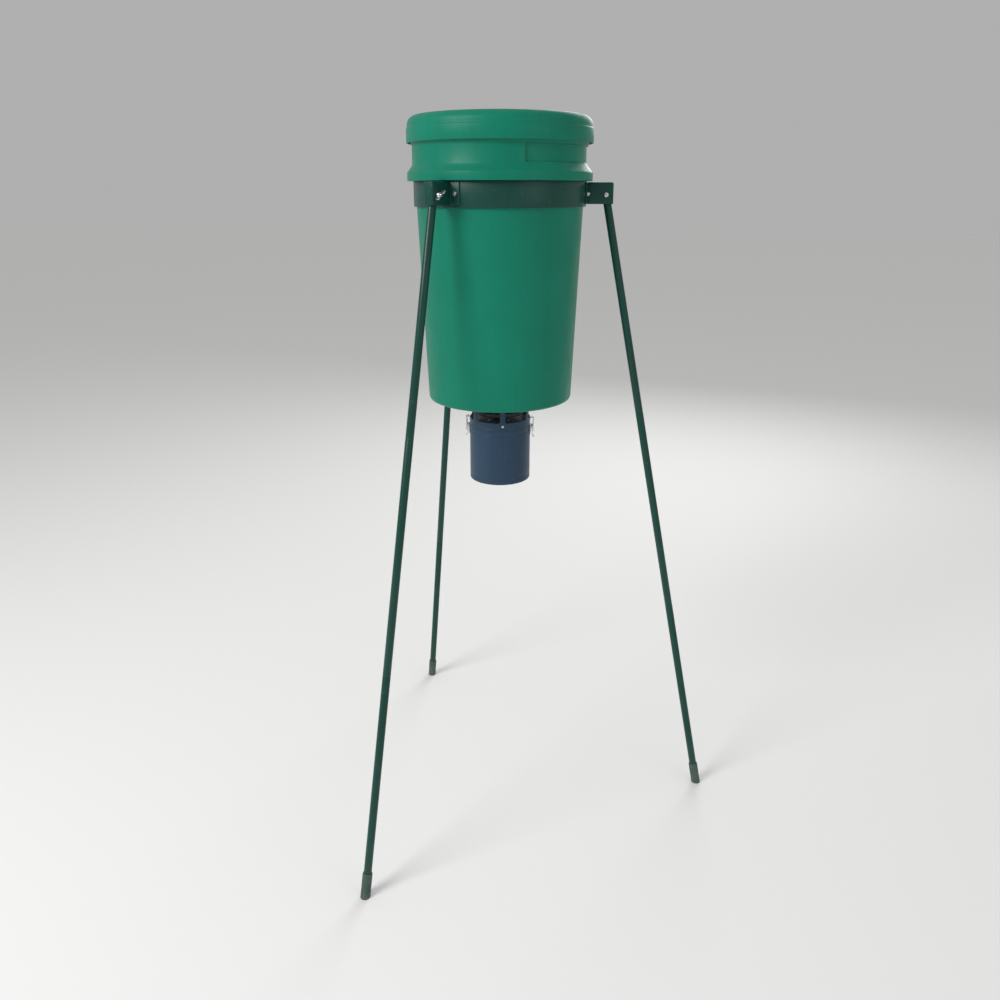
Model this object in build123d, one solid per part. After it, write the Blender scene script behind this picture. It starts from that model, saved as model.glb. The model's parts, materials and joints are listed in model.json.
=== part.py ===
from build123d import *
import os
from math import asin, atan2, cos, degrees, hypot, radians, sin

# Spin cast feeder: a lidded pail hopper on a three-legged steel stand, with a feeder unit under its floor.
# Frame: +Z up, z = 0 on the ground, legs at 0, 120 and 240 degrees from +X, the front towards -Y.
# Everything is drawn around the hopper's axis and moved by stand_x at the end, so that the origin is the
# middle of the base of the whole stand. Millimetres and degrees.

# Stand
leg_angles = (0, 120, 240)
foot_reach = 472.0
pivot_reach = 212.0
pivot_z = 1358.0
tube_radius = 8.0
tube_wall = 1.5
section_names = ("upper", "middle", "lower")
spigot_length = 40.0
spigot_fit = 0.1
spigot_root = 10.0
spigot_step = 6.0
leg_above_pivot = 14.0
leg_plug = 2.0
cap_radius = 10.0
cap_length = 46.0
cap_sole = 6.0

hoop_inner = 170.0
hoop_thickness = 3.0
hoop_bottom = 1335.0
hoop_top = 1384.0
bracket_end = 226.5
bracket_sheet = 2.0
bracket_gap = 17.4
bracket_bottom = 1340.0
bracket_top = 1382.0
pad_thickness = 2.5
pad_half_width = 30.0
web_overlap = 0.5

pivot_radius = 3.0
pivot_head_radius = 5.5
pivot_head_height = 4.0
pivot_end = 10.0
wing_nut_height = 7.0
wing_thickness = 2.4
wing_from = 4.5
wing_to = 13.0
wing_low = 2.0
wing_high = 12.0
wing_turn = 35.0

# Bolts through the hoop and the brackets' pads, M5 with flat heads inside the hoop
bolt_side = 22.0
bolt_z = 1360.0
bolt_radius = 2.5
bolt_hole = 2.6
bolt_seat = 170.7
bolt_head_radius = 4.5
bolt_head_height = 1.4
bolt_seat_radius = 4.6
bolt_end = 180.0
nut_across = 8.0
nut_height = 3.6

# Hopper and lid
lid_top = 1506.0
lid_radius = 185.0
lid_skirt_bottom = 1455.0
lid_wall = 3.0
lid_corner = 18.0
lid_step_z = 1481.0
lid_step = 1.6
lid_step_fall = 4.0
lid_groove = (118.0, 124.0)
lid_groove_depth = 1.0
gasket_height = 3.0
gasket_margin = 0.4
seat_inner = 173.0
seat_outer = 177.8
pail_floor_z = 941.0
pail_floor = 4.0
pail_wall = 3.0
pail_chamfer = 6.0
pail_bottom_radius = 150.6
pail_top_radius = 169.3
collar_radius = 174.5
collar_flare = 13.0
rib_radius = 185.0
rib_height = 18.0
recess_depth = 3.0
recess_start = -70.0
recess_end = 35.0
rim_radius = 178.0
rim_top = 1490.0

# Feeder unit
shell_radius = 65.0
shell_wall = 1.5
shell_bottom = 884.0
shell_flange = 2.0
window_bottom = 897.0
window_top = 938.0
window_count = 6
post_width = 12.0
first_post = 40.0
shell_screw_count = 3
shell_screw_z = 890.5
shell_screw_head = 3.0
screw_radius = 1.5
screw_hole = 1.6
deck_top = 895.0
deck_thickness = 1.5
deck_radius = 63.2
deck_rim_bottom = 875.0
deck_opening = 6.4
deck_screw_places = ((-11, 0), (11, 0), (-20, -30), (20, -30))
deck_screw_head = 2.8
deck_screw_head_height = 2.0
motor_screw_length = 7.0
timer_screw_length = 5.5
spout_radius = 22.0
spout_wall = 1.5
spout_end = 919.0
spout_flange = 62.0
spout_flange_thickness = 2.0
spout_fit = 0.3
floor_bolt_count = 4
floor_bolt_circle = 54.0
first_floor_bolt = 45.0
floor_bolt_hole = 2.7
floor_bolt_head = 5.0
floor_bolt_head_height = 3.0
floor_bolt_length = 18.0
floor_nut_height = 4.0

# Motor, shaft and spinner
motor_radius = 16.0
motor_length = 50.0
motor_boss = 6.0
motor_screw_reach = 11.0
terminal_share = 0.6
shaft_radius = 2.0
shaft_depth = 18.0
running_fit = 0.05
spinner_radius = 50.0
spinner_z = 904.0
spinner_sheet = 1.5
spinner_rim = 9.0
vane_start = 14.0
vane_thickness = 1.4
hub_radius = 9.0
hub_top_radius = 7.0
hub_bush = 3.5
hub_below = 4.5
hub_above = 5.0
set_screw_rise = 2.3
set_screw_radius = 1.25
set_screw_end = 8.8

# Timer module under the deck, panel towards -Y
timer_width = 68.0
timer_bottom = 818.0
timer_top = 882.0
timer_front = -48.0
timer_back = -22.0
timer_wall = 2.0
panel_thickness = 2.0
panel_margin = 0.1
pad_width = 52.0
pad_rise = 0.5
timer_bracket_front = -38.0
button_radius = 3.5
button_hole = 3.8
button_places = (-21.0, -7.0, 7.0, 21.0)
button_z = 832.0
button_out = 1.5
button_in = 2.8
screen_z = 859.0
screen_width = 40.0
screen_height = 18.0
screen_margin = 0.3
screen_sunk = 0.6
screen_back = 4.2
board_thickness = 1.6
board_width = 63.0
board_margin = 2.4

# Can, and the standard 6 V, 5 Ah battery that lies in it
can_bottom = 760.0
can_wall = 1.2
battery_size = (101.0, 70.0, 47.0)
battery_lid = 3.0
battery_lid_inset = 1.0
tray_radius = 60.0
tray_thickness = 1.5
tray_lip = 1.5
tray_lip_height = 14.0
tray_clearance = 0.1
tray_lip_spans = (18.0, 26.0)
tab_x = 38.0
tab_y = 22.0
tab_half_width = 2.4
tab_height = 6.0
tab_thickness = 0.8

# Draw latches on the +X and -X sides of the can
latch_angles = (0, 180)
plate_thickness = 1.5
latch_plate_half_width = 10.0
latch_plate_below = 15.0
latch_plate_above = 5.0
latch_hinge_reach = 70.0
latch_hinge_z = 875.0
hinge_pin_radius = 1.0
hinge_pin_half = 9.5
ear_inner = 8.6
ear_outer = 10.0
ear_half_height = 3.0
ear_past_hinge = 2.2
lever_half_width = 5.5
lever_eye_radius = 2.2
lever_length = 22.0
lever_back = 0.4
lever_front = 1.2
lever_tab = 4.5
lever_tab_thickness = 1.4
lever_fit = 0.06
loop_pivot_reach = 72.2
loop_pivot_z = 867.5
loop_top_z = 897.0
loop_half_width = 7.0
loop_bend = 1.5
wire_radius = 1.0
keeper_top = 899.5
keeper_gap = 0.4
keeper_half_width = 5.0
keeper_height = 11.0
hook_half_width = 4.0
hook_drop = 3.0
hook_thickness = 1.5
lip_thickness = 1.4

# A length past every piece, for cuts that go right through
through = 1000.0

# Worked-out values
splay = degrees(atan2(foot_reach - pivot_reach, pivot_z))
leg_length = leg_above_pivot + pivot_z / cos(radians(splay)) - cap_sole
section_length = leg_length / len(section_names)
tube_inner = tube_radius - tube_wall
foot_long = cap_radius / cos(radians(splay))
foot_side = hypot(foot_long * cos(radians(60)), cap_radius * sin(radians(60)))
stand_x = (foot_reach / 2 + foot_side - foot_reach - foot_long) / 2
hoop_outer = hoop_inner + hoop_thickness
pad_outer = hoop_outer + pad_thickness
bracket_half = bracket_gap / 2 + bracket_sheet
rib_bottom = hoop_top
rib_top = rib_bottom + rib_height
collar_bottom = rib_top + collar_flare
floor_top = pail_floor_z + pail_floor
motor_top = deck_top - deck_thickness
motor_bottom = motor_top - motor_length
hub_bottom = spinner_z - hub_below
battery_bottom = can_bottom + can_wall + tray_thickness

parts = {}


def keep(name, *solids):
    """Stores a node as one solid or a group of separate solids."""
    parts[name] = solids[0] if len(solids) == 1 else Compound(children=list(solids))


def revolved(*points):
    """Full turn about Z of a closed outline given as (radius, z) corners."""
    outline = Polyline(*[(r, 0, z) for r, z in points], close=True)
    return revolve(make_face(outline), Axis.Z)


def ring(inner, outer, bottom, top):
    """Plain ring, or a disc where inner is 0."""
    height = top - bottom
    body = Pos(0, 0, bottom + height / 2) * Cylinder(outer, height)
    if inner > 0:
        body -= Pos(0, 0, bottom + height / 2) * Cylinder(inner, height + 2)
    return body


def bore(radius):
    """Cutter on the hopper's axis that reaches past every piece."""
    return ring(0, radius, 0, 2 * through)


def drilled(x, y, radius):
    """Upright cutter at a place, through every piece."""
    return Pos(x, y, through) * Cylinder(radius, 2 * through)


def block(x0, x1, y0, y1, z0, z1):
    """Box between two opposite corners, given in either order."""
    middle = Pos((x0 + x1) / 2, (y0 + y1) / 2, (z0 + z1) / 2)
    return middle * Box(abs(x1 - x0), abs(y1 - y0), abs(z1 - z0))


def rod(start, end, radius):
    """Round bar between two points."""
    way = Vector(*end) - Vector(*start)
    plane = Plane(origin=start, z_dir=way)
    return extrude(plane * Circle(radius), way.length)


def turned(shape, angle):
    """Shape turned about the hopper's axis."""
    return Rot(0, 0, angle) * shape


def around(count, first, radius=0.0):
    """Evenly spaced angles, with the place of each at a radius: (angle, x, y)."""
    angles = [first + index * 360 / count for index in range(count)]
    return [(angle, radius * cos(radians(angle)), radius * sin(radians(angle))) for angle in angles]


def sector(start, span, radius, bottom, top):
    """Wedge of a cylinder, from one angle over a span."""
    aligned = (Align.NONE, Align.NONE, Align.MIN)
    return Pos(0, 0, bottom) * Rot(0, 0, start) * Cylinder(radius, top - bottom, arc_size=span, align=aligned)


# Stand: hoop, brackets and their fasteners
def hoop_rod(side, start, end, radius):
    """Bar through the hoop at a bolt's place, for the bracket at 0 degrees."""
    return rod((start, side * bolt_side, bolt_z), (end, side * bolt_side, bolt_z), radius)


def make_hoop():
    """Flat steel hoop under the pail's rib, with a sunk seat for each bolt's head."""
    hoop = ring(hoop_inner, hoop_outer, hoop_bottom, hoop_top)
    for angle in leg_angles:
        for side in (-1, 1):
            hole = hoop_rod(side, hoop_inner / 2, bracket_end, bolt_hole)
            seat = hoop_rod(side, hoop_inner / 2, bolt_seat, bolt_seat_radius)
            hoop -= turned(hole + seat, angle)
    return hoop


def make_bracket():
    """Bent sheet bracket: a pad on the hoop and a channel closed at the top and at its outer end."""
    gap_half = bracket_gap / 2
    gap_end = bracket_end - bracket_sheet
    gap_top = bracket_top - bracket_sheet
    pad = ring(hoop_outer, pad_outer, bracket_bottom, bracket_top)
    pad = pad & block(0, bracket_end, -pad_half_width, pad_half_width, bracket_bottom, bracket_top)
    channel = block(hoop_outer, bracket_end, -bracket_half, bracket_half, bracket_bottom, bracket_top)
    channel -= bore(pad_outer - web_overlap)
    channel -= block(0, gap_end, -gap_half, gap_half, 0, gap_top)
    bracket = pad + channel
    for side in (-1, 1):
        bracket -= hoop_rod(side, hoop_inner, bolt_end, bolt_hole)
    return bracket - pivot_bar(-pad_half_width, pad_half_width, pivot_radius + running_fit)


def make_bracket_bolt(side):
    """Flat-head bolt through the hoop and the bracket's pad, its head sunk in the hoop's inner face."""
    head = hoop_rod(side, bolt_seat - bolt_head_height, bolt_seat, bolt_head_radius)
    return head + hoop_rod(side, bolt_seat - bolt_head_height / 2, bolt_end, bolt_radius)


def make_bracket_nut(side):
    """Hexagon nut on the bracket's curved pad."""
    plane = Plane(origin=(pad_outer - 1, side * bolt_side, bolt_z), z_dir=(1, 0, 0))
    nut = extrude(plane * RegularPolygon(nut_across / 2, 6, major_radius=False), nut_height)
    return nut - bore(pad_outer) - hoop_rod(side, hoop_inner, bracket_end, bolt_radius)


def pivot_bar(start, end, radius):
    """Bar along the leg's pivot, for the leg at 0 degrees."""
    return rod((pivot_reach, start, pivot_z), (pivot_reach, end, pivot_z), radius)


def make_pivot_bolt():
    """Bolt through the bracket and the leg's head, its round head on the -Y side."""
    head = pivot_bar(-bracket_half - pivot_head_height, -bracket_half, pivot_head_radius)
    return head + pivot_bar(-bracket_half - pivot_head_height / 2, bracket_half + pivot_end, pivot_radius)


def make_wing_nut():
    """Wing nut on the pivot bolt's end, on the +Y side of the bracket."""
    body = pivot_bar(bracket_half, bracket_half + wing_nut_height, pivot_head_radius)
    half = wing_thickness / 2
    for side in (-1, 1):
        wing = block(side * wing_from, side * wing_to, -half, half, wing_low, wing_high)
        body += Pos(pivot_reach, bracket_half, pivot_z) * Rot(-90, 0, 0) * Rot(0, 0, wing_turn) * wing
    return body - pivot_bar(0, bracket_half + wing_high + 1, pivot_radius)


def make_leg_section(index):
    """One tube of a leg, drawn down from its upper end, with a reduced spigot that plugs the next one."""
    spigot = tube_inner - spigot_fit
    spigot_end = -section_length - spigot_length
    if index == len(section_names) - 1:
        return ring(tube_inner, tube_radius, -section_length, 0)
    tube = revolved(
        (tube_inner, 0),
        (tube_radius, 0),
        (tube_radius, -section_length),
        (spigot, -section_length),
        (spigot, spigot_end),
        (spigot - tube_wall, spigot_end),
        (spigot - tube_wall, -section_length + spigot_step),
        (tube_inner, -section_length + spigot_root),
    )
    if index == 0:
        reach = 2 * tube_radius
        across = rod((0, -reach, -leg_above_pivot), (0, reach, -leg_above_pivot), pivot_radius + running_fit)
        tube = tube + ring(0, tube_inner, -leg_plug, 0) - across
    return tube


def on_leg(distance):
    """Place on a leg at 0 degrees: Z of the result runs up the leg, at a distance below its upper end."""
    below = distance - leg_above_pivot
    reach = pivot_reach + below * sin(radians(splay))
    height = pivot_z - below * cos(radians(splay))
    return Pos(reach, 0, height) * Rot(0, -splay, 0)


def make_foot_cap():
    """Rubber foot on the leg's end, its sole cut level with the ground."""
    cap = ring(0, cap_radius, -2 * cap_sole, cap_length) - ring(0, tube_radius + running_fit, 0, 2 * cap_length)
    cap = on_leg(leg_length) * cap
    half = cap_length
    return cap - block(foot_reach - half, foot_reach + half, -half, half, -cap_length, 0)


def make_stand():
    """Hoop, and for each leg its bracket, bolts, nuts, pivot, three sections and foot."""
    keep("hoop_band", make_hoop())
    bolts = []
    nuts = []
    pivots = []
    wings = []
    for number, angle in enumerate(leg_angles, 1):
        keep(f"leg_bracket_{number}", turned(make_bracket(), angle))
        for side in (-1, 1):
            bolts.append(turned(make_bracket_bolt(side), angle))
            nuts.append(turned(make_bracket_nut(side), angle))
        pivots.append(turned(make_pivot_bolt(), angle))
        wings.append(turned(make_wing_nut(), angle))
        for index, section_name in enumerate(section_names):
            section = on_leg(index * section_length) * make_leg_section(index)
            keep(f"leg_{number}_{section_name}", turned(section, angle))
        keep(f"foot_cap_{number}", turned(make_foot_cap(), angle))
    keep("bracket_bolts", *bolts)
    keep("bracket_nuts", *nuts)
    keep("pivot_bolts", *pivots)
    keep("pivot_wing_nuts", *wings)


# Hopper and lid
def floor_bolt_holes():
    """Cutters for the bolts that hold the unit under the hopper's floor."""
    places = around(floor_bolt_count, first_floor_bolt, floor_bolt_circle)
    return [drilled(x, y, floor_bolt_hole) for angle, x, y in places]


def make_pail():
    """Tapered pail: collar with a solid lower rib that sits on the hoop, and a plain rim for the lid."""
    collar_inner = collar_radius - recess_depth - pail_wall
    pail = revolved(
        (0, pail_floor_z),
        (pail_bottom_radius - pail_chamfer, pail_floor_z),
        (pail_bottom_radius, pail_floor_z + pail_chamfer),
        (pail_top_radius, rib_bottom),
        (rib_radius, rib_bottom),
        (rib_radius, rib_top),
        (collar_radius, collar_bottom),
        (collar_radius, lid_skirt_bottom - 4),
        (rim_radius, lid_skirt_bottom + 2),
        (rim_radius, rim_top),
        (rim_radius - pail_wall, rim_top),
        (rim_radius - pail_wall, lid_skirt_bottom + 2),
        (collar_inner, lid_skirt_bottom - 6),
        (collar_inner, collar_bottom),
        (pail_top_radius - pail_wall, rib_bottom),
        (pail_bottom_radius - pail_wall, floor_top + 4),
        (pail_bottom_radius - pail_wall - 4, floor_top),
        (0, floor_top),
    )
    panel = ring(collar_radius - recess_depth, rib_radius, collar_bottom, lid_skirt_bottom - 5)
    pail -= panel & sector(recess_start, recess_end - recess_start, 2 * rib_radius, rib_top, rim_top)
    pail -= bore(spout_radius + spout_fit)
    for hole in floor_bolt_holes():
        pail -= hole
    return pail


def make_lid():
    """Deep lid: rounded top edge, stepped skirt that covers the rim, seat ring for the gasket inside."""
    upper = lid_radius - lid_step
    inner = upper - lid_wall
    flat = upper - lid_corner
    bend = lid_top - lid_corner
    ceiling = lid_top - lid_wall
    with BuildSketch(Plane.XZ) as section:
        with BuildLine():
            Line((0, lid_top), (flat, lid_top))
            RadiusArc((flat, lid_top), (upper, bend), lid_corner)
            Polyline(
                (upper, bend),
                (upper, lid_step_z + lid_step),
                (lid_radius, lid_step_z),
                (lid_radius, lid_skirt_bottom),
                (lid_radius - lid_wall, lid_skirt_bottom),
                (lid_radius - lid_wall, lid_step_z - lid_step_fall),
                (inner, lid_step_z),
                (inner, bend),
            )
            RadiusArc((inner, bend), (flat, ceiling), lid_wall - lid_corner)
            Polyline((flat, ceiling), (0, ceiling), (0, lid_top))
        make_face()
    lid = revolve(section.sketch, Axis.Z)
    lid += ring(seat_inner, seat_outer, rim_top + gasket_height, ceiling + lid_wall / 6)
    return lid - ring(*lid_groove, lid_top - lid_groove_depth, lid_top + lid_groove_depth)


def make_gasket():
    """Flat sealing ring between the lid's seat and the pail's rim."""
    return ring(seat_inner + gasket_margin, seat_outer - gasket_margin, rim_top, rim_top + gasket_height)


# Feeder unit fixed under the hopper
def shell_screw_rod(start, end, radius):
    """Bars at the places of the screws through the shell into the deck's rim."""
    bar = rod((start, 0, shell_screw_z), (end, 0, shell_screw_z), radius)
    return [turned(bar, angle) for angle, x, y in around(shell_screw_count, first_post)]


def make_shell():
    """Pressed sheet cup, open below: flange under the floor, six windows between the guard's posts."""
    shell = ring(shell_radius - shell_wall, shell_radius, shell_bottom, pail_floor_z)
    flange_inner = spout_radius + spout_fit
    shell += ring(flange_inner, shell_radius - shell_wall / 3, pail_floor_z - shell_flange, pail_floor_z)
    half = degrees(asin(post_width / 2 / shell_radius))
    wall_zone = ring(shell_radius - 10, shell_radius + 10, window_bottom, window_top)
    for angle, x, y in around(window_count, first_post):
        span = 360 / window_count - 2 * half
        window = sector(angle + half, span, 2 * shell_radius, window_bottom, window_top)
        shell -= window & wall_zone
    for hole in floor_bolt_holes():
        shell -= hole
    for hole in shell_screw_rod(shell_radius - 15, shell_radius + 15, screw_hole):
        shell -= hole
    return shell


def make_deck():
    """Motor deck: a flanged disc inside the shell that carries the motor and the timer."""
    deck = ring(0, deck_radius, deck_top - deck_thickness, deck_top)
    deck += ring(deck_radius - deck_thickness, deck_radius, deck_rim_bottom, deck_top)
    deck -= bore(deck_opening)
    for x, y in deck_screw_places:
        deck -= drilled(x, y, screw_hole)
    for hole in shell_screw_rod(shell_radius - 15, shell_radius + 15, screw_hole):
        deck -= hole
    return deck


def make_deck_screws():
    """Two screws into the motor's face and two into the timer's bracket."""
    screws = []
    for x, y in deck_screw_places:
        length = motor_screw_length if y == 0 else timer_screw_length
        head_z = deck_top + deck_screw_head_height / 2
        head = Pos(x, y, head_z) * Cylinder(deck_screw_head, deck_screw_head_height)
        screws.append(head + Pos(x, y, deck_top - length / 2) * Cylinder(screw_radius, length))
    return screws


def make_shell_screws():
    """Pan-head screws through the shell's lower ring."""
    heads = shell_screw_rod(shell_radius - 0.05, shell_radius + 1.6, shell_screw_head)
    shanks = shell_screw_rod(deck_radius - 3, shell_radius + 1, screw_radius)
    return [head - bore(shell_radius) + shank for head, shank in zip(heads, shanks)]


def make_spout():
    """Outlet spout: flange on the hopper's floor and a tube down to just above the spinner."""
    inner = spout_radius - spout_wall
    spout = revolved(
        (inner, spout_end),
        (spout_radius, spout_end),
        (spout_radius, floor_top),
        (spout_flange, floor_top),
        (spout_flange, floor_top + spout_flange_thickness),
        (spout_radius + 6, floor_top + spout_flange_thickness),
        (inner, floor_top - 4),
    )
    for hole in floor_bolt_holes():
        spout -= hole
    return spout


def make_floor_bolts():
    """Bolts down through the spout's flange, the floor and the shell's flange, with their nuts."""
    bolts = []
    nuts = []
    seat = floor_top + spout_flange_thickness
    nut_top = pail_floor_z - shell_flange
    for angle, x, y in around(floor_bolt_count, first_floor_bolt, floor_bolt_circle):
        head = Pos(x, y, seat + floor_bolt_head_height / 2) * Cylinder(floor_bolt_head, floor_bolt_head_height)
        shank = Pos(x, y, seat - floor_bolt_length / 2) * Cylinder(bolt_radius, floor_bolt_length)
        bolts.append(head + shank)
        hexagon = RegularPolygon(nut_across / 2, 6, major_radius=False)
        nut = Pos(x, y, nut_top - floor_nut_height) * extrude(hexagon, floor_nut_height)
        nuts.append(nut - drilled(x, y, bolt_radius))
    return bolts, nuts


def make_motor():
    """Small direct-current motor with a boss through the deck and two terminals below."""
    motor = ring(0, motor_radius, motor_bottom, motor_top)
    motor += ring(0, motor_boss, motor_top - 1, deck_top + 1.5)
    motor -= ring(0, shaft_radius + running_fit, motor_top - shaft_depth, spinner_z)
    for x in (-motor_screw_reach, motor_screw_reach):
        motor -= Pos(x, 0, motor_top - 3) * Cylinder(screw_radius, 8)
        tab_middle = x * terminal_share
        motor += block(tab_middle - 2, tab_middle + 2, -0.4, 0.4, motor_bottom - tab_height, motor_bottom + 1)
    return motor


def make_timer_bracket():
    """Angle bracket from the deck down behind the timer's case."""
    half = pad_width / 2
    back = timer_back + 2
    bracket = block(-half, half, timer_back + pad_rise, back, timer_bottom + 6, motor_top)
    bracket += block(-half, half, timer_bracket_front, back, motor_top - 1.5, motor_top)
    for x, y in deck_screw_places:
        if y < 0:
            bracket -= drilled(x, y, screw_radius)
    return bracket


def make_timer_case():
    """Timer box, open to the front where the panel closes it, with a raised pad on its back."""
    half = timer_width / 2
    inner = half - timer_wall
    case = block(-half, half, timer_front, timer_back, timer_bottom, timer_top)
    case -= block(
        -inner,
        inner,
        timer_front - timer_wall,
        timer_back - timer_wall,
        timer_bottom + timer_wall,
        timer_top - timer_wall,
    )
    pad_half = pad_width / 2
    pad_back = timer_back + pad_rise
    return case + block(-pad_half, pad_half, timer_back - 1, pad_back, timer_bottom + 10, timer_top - 4)


def make_timer_panel():
    """Front panel with a window for the display and a hole for each button."""
    edge = timer_wall + panel_margin
    half = timer_width / 2 - edge
    back = timer_front + panel_thickness
    panel = block(-half, half, timer_front, back, timer_bottom + edge, timer_top - edge)
    panel -= block(
        -screen_width / 2,
        screen_width / 2,
        timer_front - panel_thickness,
        back + panel_thickness,
        screen_z - screen_height / 2,
        screen_z + screen_height / 2,
    )
    for x in button_places:
        panel -= rod((x, timer_front - 2, button_z), (x, back + 2, button_z), button_hole)
    return panel


def make_timer_inside():
    """Display block behind the panel's window and the circuit board behind it."""
    width = screen_width / 2 - screen_margin
    height = screen_height / 2 - screen_margin
    face = timer_front + screen_sunk
    back = timer_front + screen_back
    board_half = board_width / 2
    screen = block(-width, width, face, back, screen_z - height, screen_z + height)
    low = timer_bottom + board_margin
    high = timer_top - board_margin
    return screen, block(-board_half, board_half, back, back + board_thickness, low, high)


def make_button(x):
    """Round push button that stands out of the panel."""
    return rod((x, timer_front - button_out, button_z), (x, timer_front + button_in, button_z), button_radius)


def make_keeper():
    """Hooked catch plate on the shell's lower ring, at 0 degrees."""
    half = keeper_half_width
    plate = block(0, shell_radius + plate_thickness, -half, half, window_bottom - keeper_height, window_bottom)
    plate -= bore(shell_radius)
    tip = loop_pivot_reach - wire_radius - keeper_gap
    hook_z = window_bottom - hook_drop
    hook = block(shell_radius + 0.5, tip, -hook_half_width, hook_half_width, hook_z, hook_z + hook_thickness)
    lip = block(tip - lip_thickness, tip, -hook_half_width, hook_half_width, hook_z, keeper_top)
    return plate + hook + lip


def make_spinner():
    """Dished slinger with an upturned rim against the wind, and four upright vanes."""
    disc = ring(0, spinner_radius, spinner_z, spinner_z + spinner_sheet)
    disc += ring(spinner_radius - spinner_sheet, spinner_radius, spinner_z, spinner_z + spinner_rim)
    half = vane_thickness / 2
    vane = block(vane_start, spinner_radius - 1, -half, half, spinner_z + 1, spinner_z + spinner_rim)
    for angle in range(0, 360, 90):
        disc += turned(vane, angle)
    return disc - bore(hub_bush)


def set_screw_bar(start, end):
    """Bar at the set screw's place in the hub."""
    height = hub_bottom + set_screw_rise
    return rod((start, 0, height), (end, 0, height), set_screw_radius)


def make_hub():
    """Hub under and through the disc, bored for the shaft, with a hole for the set screw."""
    disc_top = spinner_z + spinner_sheet
    hub = ring(0, hub_radius, hub_bottom, spinner_z)
    hub += ring(0, hub_bush, spinner_z - 1, disc_top)
    hub += ring(0, hub_top_radius, disc_top, disc_top + hub_above)
    return hub - bore(shaft_radius) - set_screw_bar(0, hub_radius + 3)


def make_unit():
    """Everything that hangs fixed under the hopper's floor, and the spinner."""
    keep("guard_shell", make_shell())
    keep("motor_deck", make_deck())
    keep("deck_screws", *make_deck_screws())
    keep("shell_screws", *make_shell_screws())
    keep("outlet_spout", make_spout())
    bolts, nuts = make_floor_bolts()
    keep("floor_bolts", *bolts)
    keep("floor_nuts", *nuts)
    keep("motor", make_motor())
    keep("timer_bracket", make_timer_bracket())
    keep("timer_case", make_timer_case())
    keep("timer_panel", make_timer_panel())
    screen, board = make_timer_inside()
    keep("timer_screen", screen)
    keep("timer_board", board)
    for number, x in enumerate(button_places, 1):
        keep(f"timer_button_{number}", make_button(x))
    keep("latch_keepers", *[turned(make_keeper(), angle) for angle in latch_angles])
    keep("spinner_disc", make_spinner())
    keep("spinner_hub", make_hub())
    shaft_top = spinner_z + spinner_sheet + hub_above - 1
    keep("motor_shaft", ring(0, shaft_radius, deck_top - shaft_depth, shaft_top))
    keep("spinner_set_screw", set_screw_bar(shaft_radius, set_screw_end) - bore(shaft_radius))


# Drop-off can with its battery
def make_can():
    """Drawn can, open at the top."""
    can = ring(0, shell_radius, can_bottom, shell_bottom)
    return can - ring(0, shell_radius - can_wall, can_bottom + can_wall, shell_bottom + can_wall)


def make_tray():
    """Battery tray: a disc with four upright lips, one against each side of the battery."""
    low = can_bottom + can_wall
    high = low + tray_lip_height
    x_near = battery_size[0] / 2 + tray_clearance
    y_near = battery_size[1] / 2 + tray_clearance
    x_span, y_span = tray_lip_spans
    tray = ring(0, tray_radius, low, low + tray_thickness)
    for side in (-1, 1):
        tray += block(side * x_near, side * (x_near + tray_lip), -x_span, x_span, low, high)
        tray += block(-y_span, y_span, side * y_near, side * (y_near + tray_lip), low, high)
    return tray


def make_battery():
    """Sealed battery block with its slightly smaller lid."""
    x, y, height = (battery_size[0] / 2, battery_size[1] / 2, battery_size[2])
    seam = battery_bottom + height - battery_lid
    body = block(-x, x, -y, y, battery_bottom, seam)
    x -= battery_lid_inset
    y -= battery_lid_inset
    return body + block(-x, x, -y, y, seam, battery_bottom + height)


def make_terminals():
    """Two tab terminals, each on its square foot."""
    top = battery_bottom + battery_size[2]
    tabs = []
    for x in (-tab_x, tab_x):
        tab = block(x - tab_half_width, x + tab_half_width, tab_y, tab_y + tab_thickness, top, top + tab_height)
        tabs.append(tab + block(x - 3, x + 3, tab_y - 2, tab_y + 4, top, top + tab_thickness))
    return tabs


def latch_bar(reach, half, height, radius):
    """Bar across a latch at 0 degrees."""
    return rod((reach, -half, height), (reach, half, height), radius)


def make_latch_base():
    """Base plate on the can, two ears and the lever's hinge pin, at 0 degrees."""
    half = latch_plate_half_width
    low = latch_hinge_z - latch_plate_below
    high = latch_hinge_z + latch_plate_above
    plate = block(0, shell_radius + plate_thickness, -half, half, low, high) - bore(shell_radius)
    ear_end = latch_hinge_reach + ear_past_hinge
    ear_low = latch_hinge_z - ear_half_height
    ear_high = latch_hinge_z + ear_half_height
    for side in (-1, 1):
        plate += block(shell_radius + 1, ear_end, side * ear_inner, side * ear_outer, ear_low, ear_high)
    return plate + latch_bar(latch_hinge_reach, hinge_pin_half, latch_hinge_z, hinge_pin_radius)


def make_latch_lever():
    """Over-centre lever: a tube round the hinge pin, a blade to the loop's pivot and a finger tab."""
    half = lever_half_width
    low = latch_hinge_z - lever_length
    back = latch_hinge_reach - lever_back
    lever = latch_bar(latch_hinge_reach, half, latch_hinge_z, lever_eye_radius)
    lever += block(back, latch_hinge_reach + lever_front, -half, half, low, latch_hinge_z)
    lever += latch_bar(loop_pivot_reach, half, loop_pivot_z, lever_eye_radius)
    lever += block(back, latch_hinge_reach + lever_tab, -half, half, low, low + lever_tab_thickness)
    lever -= latch_bar(latch_hinge_reach, 2 * half, latch_hinge_z, hinge_pin_radius + lever_fit)
    return lever - latch_bar(loop_pivot_reach, 2 * half, loop_pivot_z, wire_radius + lever_fit)


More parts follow.
